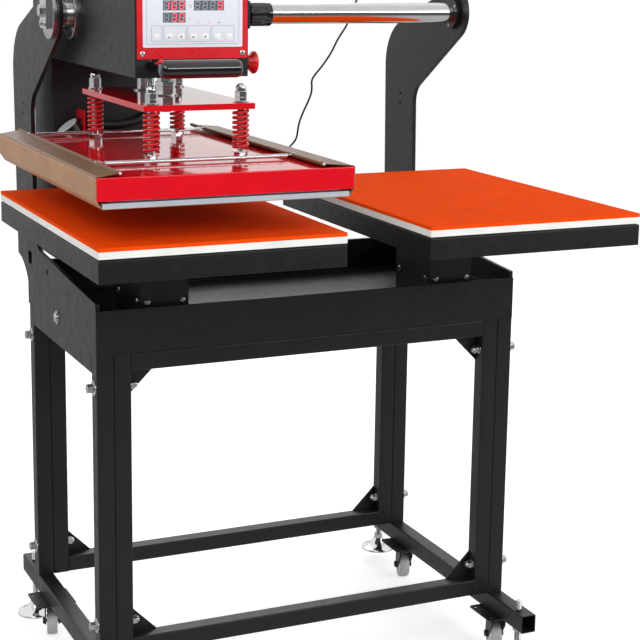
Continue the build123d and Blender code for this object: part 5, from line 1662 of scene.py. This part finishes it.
@dataclass
class Cords:
    """The signal cord and the heater's corrugated conduit, in millimetres."""

    signal_diameter: float = 4.0
    signal_length: float = 1.053
    conduit_diameter: float = 16.0
    conduit_length: float = 0.14
    ridge: float = 1.1
    ridge_pitch: float = 3.2

    signal_route = (
        (405.0, 187.0, 1163.0), (405.0, 187.0, 1202.0), (404.0, 203.0, 1246.0),
        (401.0, 243.0, 1282.0), (396.0, 292.0, 1306.0), (388.0, 341.0, 1312.0),
        (377.0, 384.0, 1294.0), (360.0, 396.5, 1262.0), (343.0, 396.0, 1236.0),
        (319.0, 394.0, 1214.0), (299.5, 392.0, 1161.0), (276.0, 391.0, 1131.0),
        (263.0, 391.0, 1104.0), (240.0, 391.0, 1073.0), (217.5, 391.0, 1050.0),
        (219.5, 391.0, 1031.0), (217.0, 391.0, 1015.0), (199.0, 391.0, 980.0),
        (190.0, 391.0, 957.0), (186.5, 391.0, 926.0), (169.0, 391.0, 911.0),
        (132.0, 391.0, 868.0),
        (102.0, 391.0, 820.0), (80.0, 390.0, 768.0), (63.0, 380.0, 712.0),
        (53.0, 366.0, 681.0), (50.0, 343.0, 658.0), (50.0, 312.0, 658.0),
    )
    conduit_route = (
        (-310.0, 218.0, 991.0), (-295.84, 218.0, 991.0), (-255.72, 217.0, 988.0),
        (-221.5, 219.0, 992.0), (-200.26, 224.0, 998.0), (-192.0, 236.0, 999.0),
        (-192.0, 251.0, 999.0),
    )

    def curve(self, name: str, route: Sequence[Point], diameter: float) -> bpy.types.Object:
        """A round cord on a smooth curve with the CAD route as its control points.

        Args:
            name: The piece's name.
            route: The control points.
            diameter: The cord's diameter.

        Returns:
            The curve object.
        """
        data = bpy.data.curves.new(name, "CURVE")
        data.dimensions = "3D"
        data.bevel_depth = diameter / 2 * MM
        data.bevel_resolution = 4
        data.resolution_u = 8
        data.use_fill_caps = True
        line = data.splines.new("NURBS")
        line.points.add(len(route) - 1)
        for point, place in zip(line.points, route):
            point.co = (*(side * MM for side in place), 1.0)
        line.order_u = 3
        line.use_endpoint_u = True
        thing = bpy.data.objects.new(name, data)
        bpy.context.scene.collection.objects.link(thing)
        data.materials.append(material(FINISH.sheath))
        return thing

    def signal(self) -> None:
        """Builds the thin signal cord and dresses its glands."""
        glands = dressed("cord_glands", FINISH.fitting, 0.5)
        cord = self.curve("signal_cord_dressed", self.signal_route, self.signal_diameter)
        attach(cord, "root")
        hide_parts("signal_cord")

    def centre_line(self, route: Sequence[Point], steps: int) -> list[Vector]:
        """Points along the smooth curve that a route controls.

        Args:
            route: The control points.
            steps: How many even steps the curve is cut into.

        Returns:
            The points, one more than the steps.
        """
        guide = self.curve("guide", route, self.conduit_diameter)
        guide.data.bevel_depth = 0.0
        guide.data.resolution_u = 32
        view = bpy.context.evaluated_depsgraph_get()
        points = [vert.co.copy() for vert in guide.evaluated_get(view).to_mesh().vertices]
        data = guide.data
        bpy.data.objects.remove(guide)
        bpy.data.curves.remove(data)
        lengths = [0.0]
        for start, end in zip(points, points[1:]):
            lengths.append(lengths[-1] + (end - start).length)
        even = []
        index = 0
        for step in range(steps + 1):
            wanted = lengths[-1] * step / steps
            while index < len(points) - 2 and lengths[index + 1] < wanted:
                index += 1
            share = (wanted - lengths[index]) / (lengths[index + 1] - lengths[index])
            even.append(points[index].lerp(points[index + 1], min(1.0, share)))
        LOG.info("centre line of %.4f m", lengths[-1])
        return even

    def conduit(self) -> None:
        """Builds the corrugated conduit from the heater's terminal to the column."""
        steps = 4 * round(self.conduit_length / (self.ridge_pitch * MM))
        path = self.centre_line(self.conduit_route, steps)
        outer = self.conduit_diameter / 2 * MM
        radii = [outer - self.ridge * MM * (0.0, 0.5, 1.0, 0.5)[step % 4] for step in range(len(path))]
        piece = Piece("heater_conduit_dressed", "platen")
        piece.add(tube(path, radii, 24), FINISH.sheath)
        thing = piece.done(["heater_conduit"], crease=80)

    def build(self) -> None:
        """Builds both cords."""
        self.signal()
        self.conduit()


@dataclass
class Studio:
    """A white floor, soft lamps and a camera at the photograph's angle, in metres."""

    camera_place: Point = (-1.1267, -2.6016, 1.3074)
    yaw: float = 24.595
    pitch: float = -11.03
    roll: float = 0.822
    lens: float = 89.98
    shift: float = -0.09
    floor_radius: float = 60.0
    floor_glow: float = 0.42
    sky: float = 0.62
    room_floor: float = 0.5
    room_low: float = 0.1
    room_high: float = 0.75
    room_back: float = 0.95
    lamps: tuple[tuple[str, Point, Point, tuple[float, float], float], ...] = (
        ("key", (-2.6, -3.2, 3.4), (0.0, 0.0, 0.8), (2.2, 2.2), 55.0),
        ("strip", (1.7, -3.6, 2.1), (0.0, 0.0, 1.15), (2.4, 0.4), 26.0),
        ("fill", (3.4, -2.4, 2.2), (0.0, 0.0, 0.8), (2.4, 2.4), 32.0),
        ("rim", (0.6, 3.2, 3.2), (0.0, 0.0, 1.0), (2.4, 1.6), 40.0),
    )

    def camera(self) -> None:
        """Places the camera."""
        yaw, pitch, roll = (math.radians(angle) for angle in (self.yaw, self.pitch, self.roll))
        ahead = Vector((math.sin(yaw) * math.cos(pitch), math.cos(yaw) * math.cos(pitch),
                        math.sin(pitch)))
        level = Vector((math.cos(yaw), -math.sin(yaw), 0.0))
        rise = level.cross(ahead)
        right = level * math.cos(roll) + rise * math.sin(roll)
        up = rise * math.cos(roll) - level * math.sin(roll)
        data = bpy.data.cameras.new("camera")
        data.lens = self.lens
        data.sensor_width = 36.0
        data.shift_y = self.shift
        data.clip_end = 200.0
        thing = bpy.data.objects.new("camera", data)
        turn = Matrix((right, up, -ahead)).transposed().to_4x4()
        thing.matrix_world = Matrix.Translation(self.camera_place) @ turn
        bpy.context.scene.collection.objects.link(thing)
        bpy.context.scene.camera = thing

    def shine(self, graph: Graph) -> bpy.types.NodeSocket:
        """How bright the room looks in a gloss: dim low in front, and bright above and behind.

        Args:
            graph: The world's graph.

        Returns:
            The brightness.
        """
        way = graph.add("SeparateXYZ")
        graph.feed(way, 0, graph.add("TexCoord").outputs["Generated"])
        front = graph.spread(way.outputs["Z"], self.room_low, self.room_high, 0.26, 0.32)
        share = graph.spread(way.outputs["Y"], 0.0, 1.0, -0.1, 0.2)
        return graph.calc("MULTIPLY_ADD", share,
                          graph.calc("SUBTRACT", self.room_back, front), front)

    def floor(self) -> None:
        """Lays a wide white floor that keeps the object's shadow."""
        mesh = bmesh.new()
        bmesh.ops.create_circle(mesh, cap_ends=True, segments=96, radius=self.floor_radius)
        thing = solid_object(mesh, "floor")
        graph = Surface("white_floor")
        graph.feed(graph.shader, "Base Color", graph.mix(
            graph.noise((0.8, 0.8, 0.8)), (0.93, 0.93, 0.93), (0.95, 0.95, 0.95)))
        graph.feed(graph.shader, "Roughness", 0.9)
        graph.feed(graph.shader, "Specular IOR Level", 0.1)
        rays = graph.add("LightPath")
        shown = graph.calc("MAXIMUM", rays.outputs["Is Camera Ray"],
                           rays.outputs["Is Transmission Ray"])
        glow = graph.add("Emission")
        graph.feed(glow, "Strength", graph.calc("MULTIPLY", shown, self.floor_glow))
        total = graph.add("AddShader")
        graph.feed(total, 0, graph.shader.outputs[0])
        graph.feed(total, 1, glow.outputs[0])
        room = graph.add("Emission")
        graph.feed(room, "Strength", graph.spread(
            graph.along("Y"), self.room_low, self.room_floor, -3.0, -1.5))
        seen = graph.add("MixShader")
        graph.feed(seen, 0, rays.outputs["Is Glossy Ray"])
        graph.feed(seen, 1, total.outputs[0])
        graph.feed(seen, 2, room.outputs[0])
        graph.feed(graph.output, "Surface", seen.outputs[0])
        thing.data.materials.append(graph.material)

    def world(self) -> None:
        """Lights the scene evenly, shows white behind it and a room in the gloss."""
        world = bpy.data.worlds.new("studio")
        bpy.context.scene.world = world
        graph = Graph(world)
        output = graph.add("OutputWorld")
        sky = graph.add("Background")
        rays = graph.add("LightPath")
        shown = graph.calc("MAXIMUM", rays.outputs["Is Camera Ray"],
                           rays.outputs["Is Transmission Ray"])
        even = graph.spread(shown, self.sky, 1.0)
        gloss = graph.calc("MULTIPLY", rays.outputs["Is Glossy Ray"],
                           graph.calc("SUBTRACT", self.shine(graph), even))
        graph.feed(sky, "Color", (1.0, 1.0, 1.0, 1.0))
        graph.feed(sky, "Strength", graph.calc("ADD", even, gloss))
        graph.feed(output, "Surface", sky.outputs[0])

    def lights(self) -> None:
        """Hangs the soft lamps."""
        for name, place, target, size, power in self.lamps:
            data = bpy.data.lights.new(name, "AREA")
            data.shape = "RECTANGLE"
            data.size, data.size_y = size
            data.energy = power
            thing = bpy.data.objects.new(name, data)
            aim = Vector(target) - Vector(place)
            thing.matrix_world = (Matrix.Translation(place)
                                  @ aim.to_track_quat("-Z", "Y").to_matrix().to_4x4())
            bpy.context.scene.collection.objects.link(thing)

    def build(self) -> None:
        """Sets up the whole studio."""
        bpy.context.scene.view_settings.view_transform = "Standard"
        self.camera()
        self.floor()
        self.world()
        self.lights()


def main() -> None:
    """Builds the press in order, then the studio."""
    logging.basicConfig(level=logging.INFO, format="%(name)s %(message)s")
    parts: Iterable = (Stand(), Castors(), LevellingFeet(), Pads(), CrossSlide(), Head(),
                       AirSystem(), ControlFront(), PressTrain(), Platen(), Cords(), Studio())
    for part in parts:
        LOG.info("building %s", type(part).__name__)
        part.build()


if __name__ == "__main__":
    main()
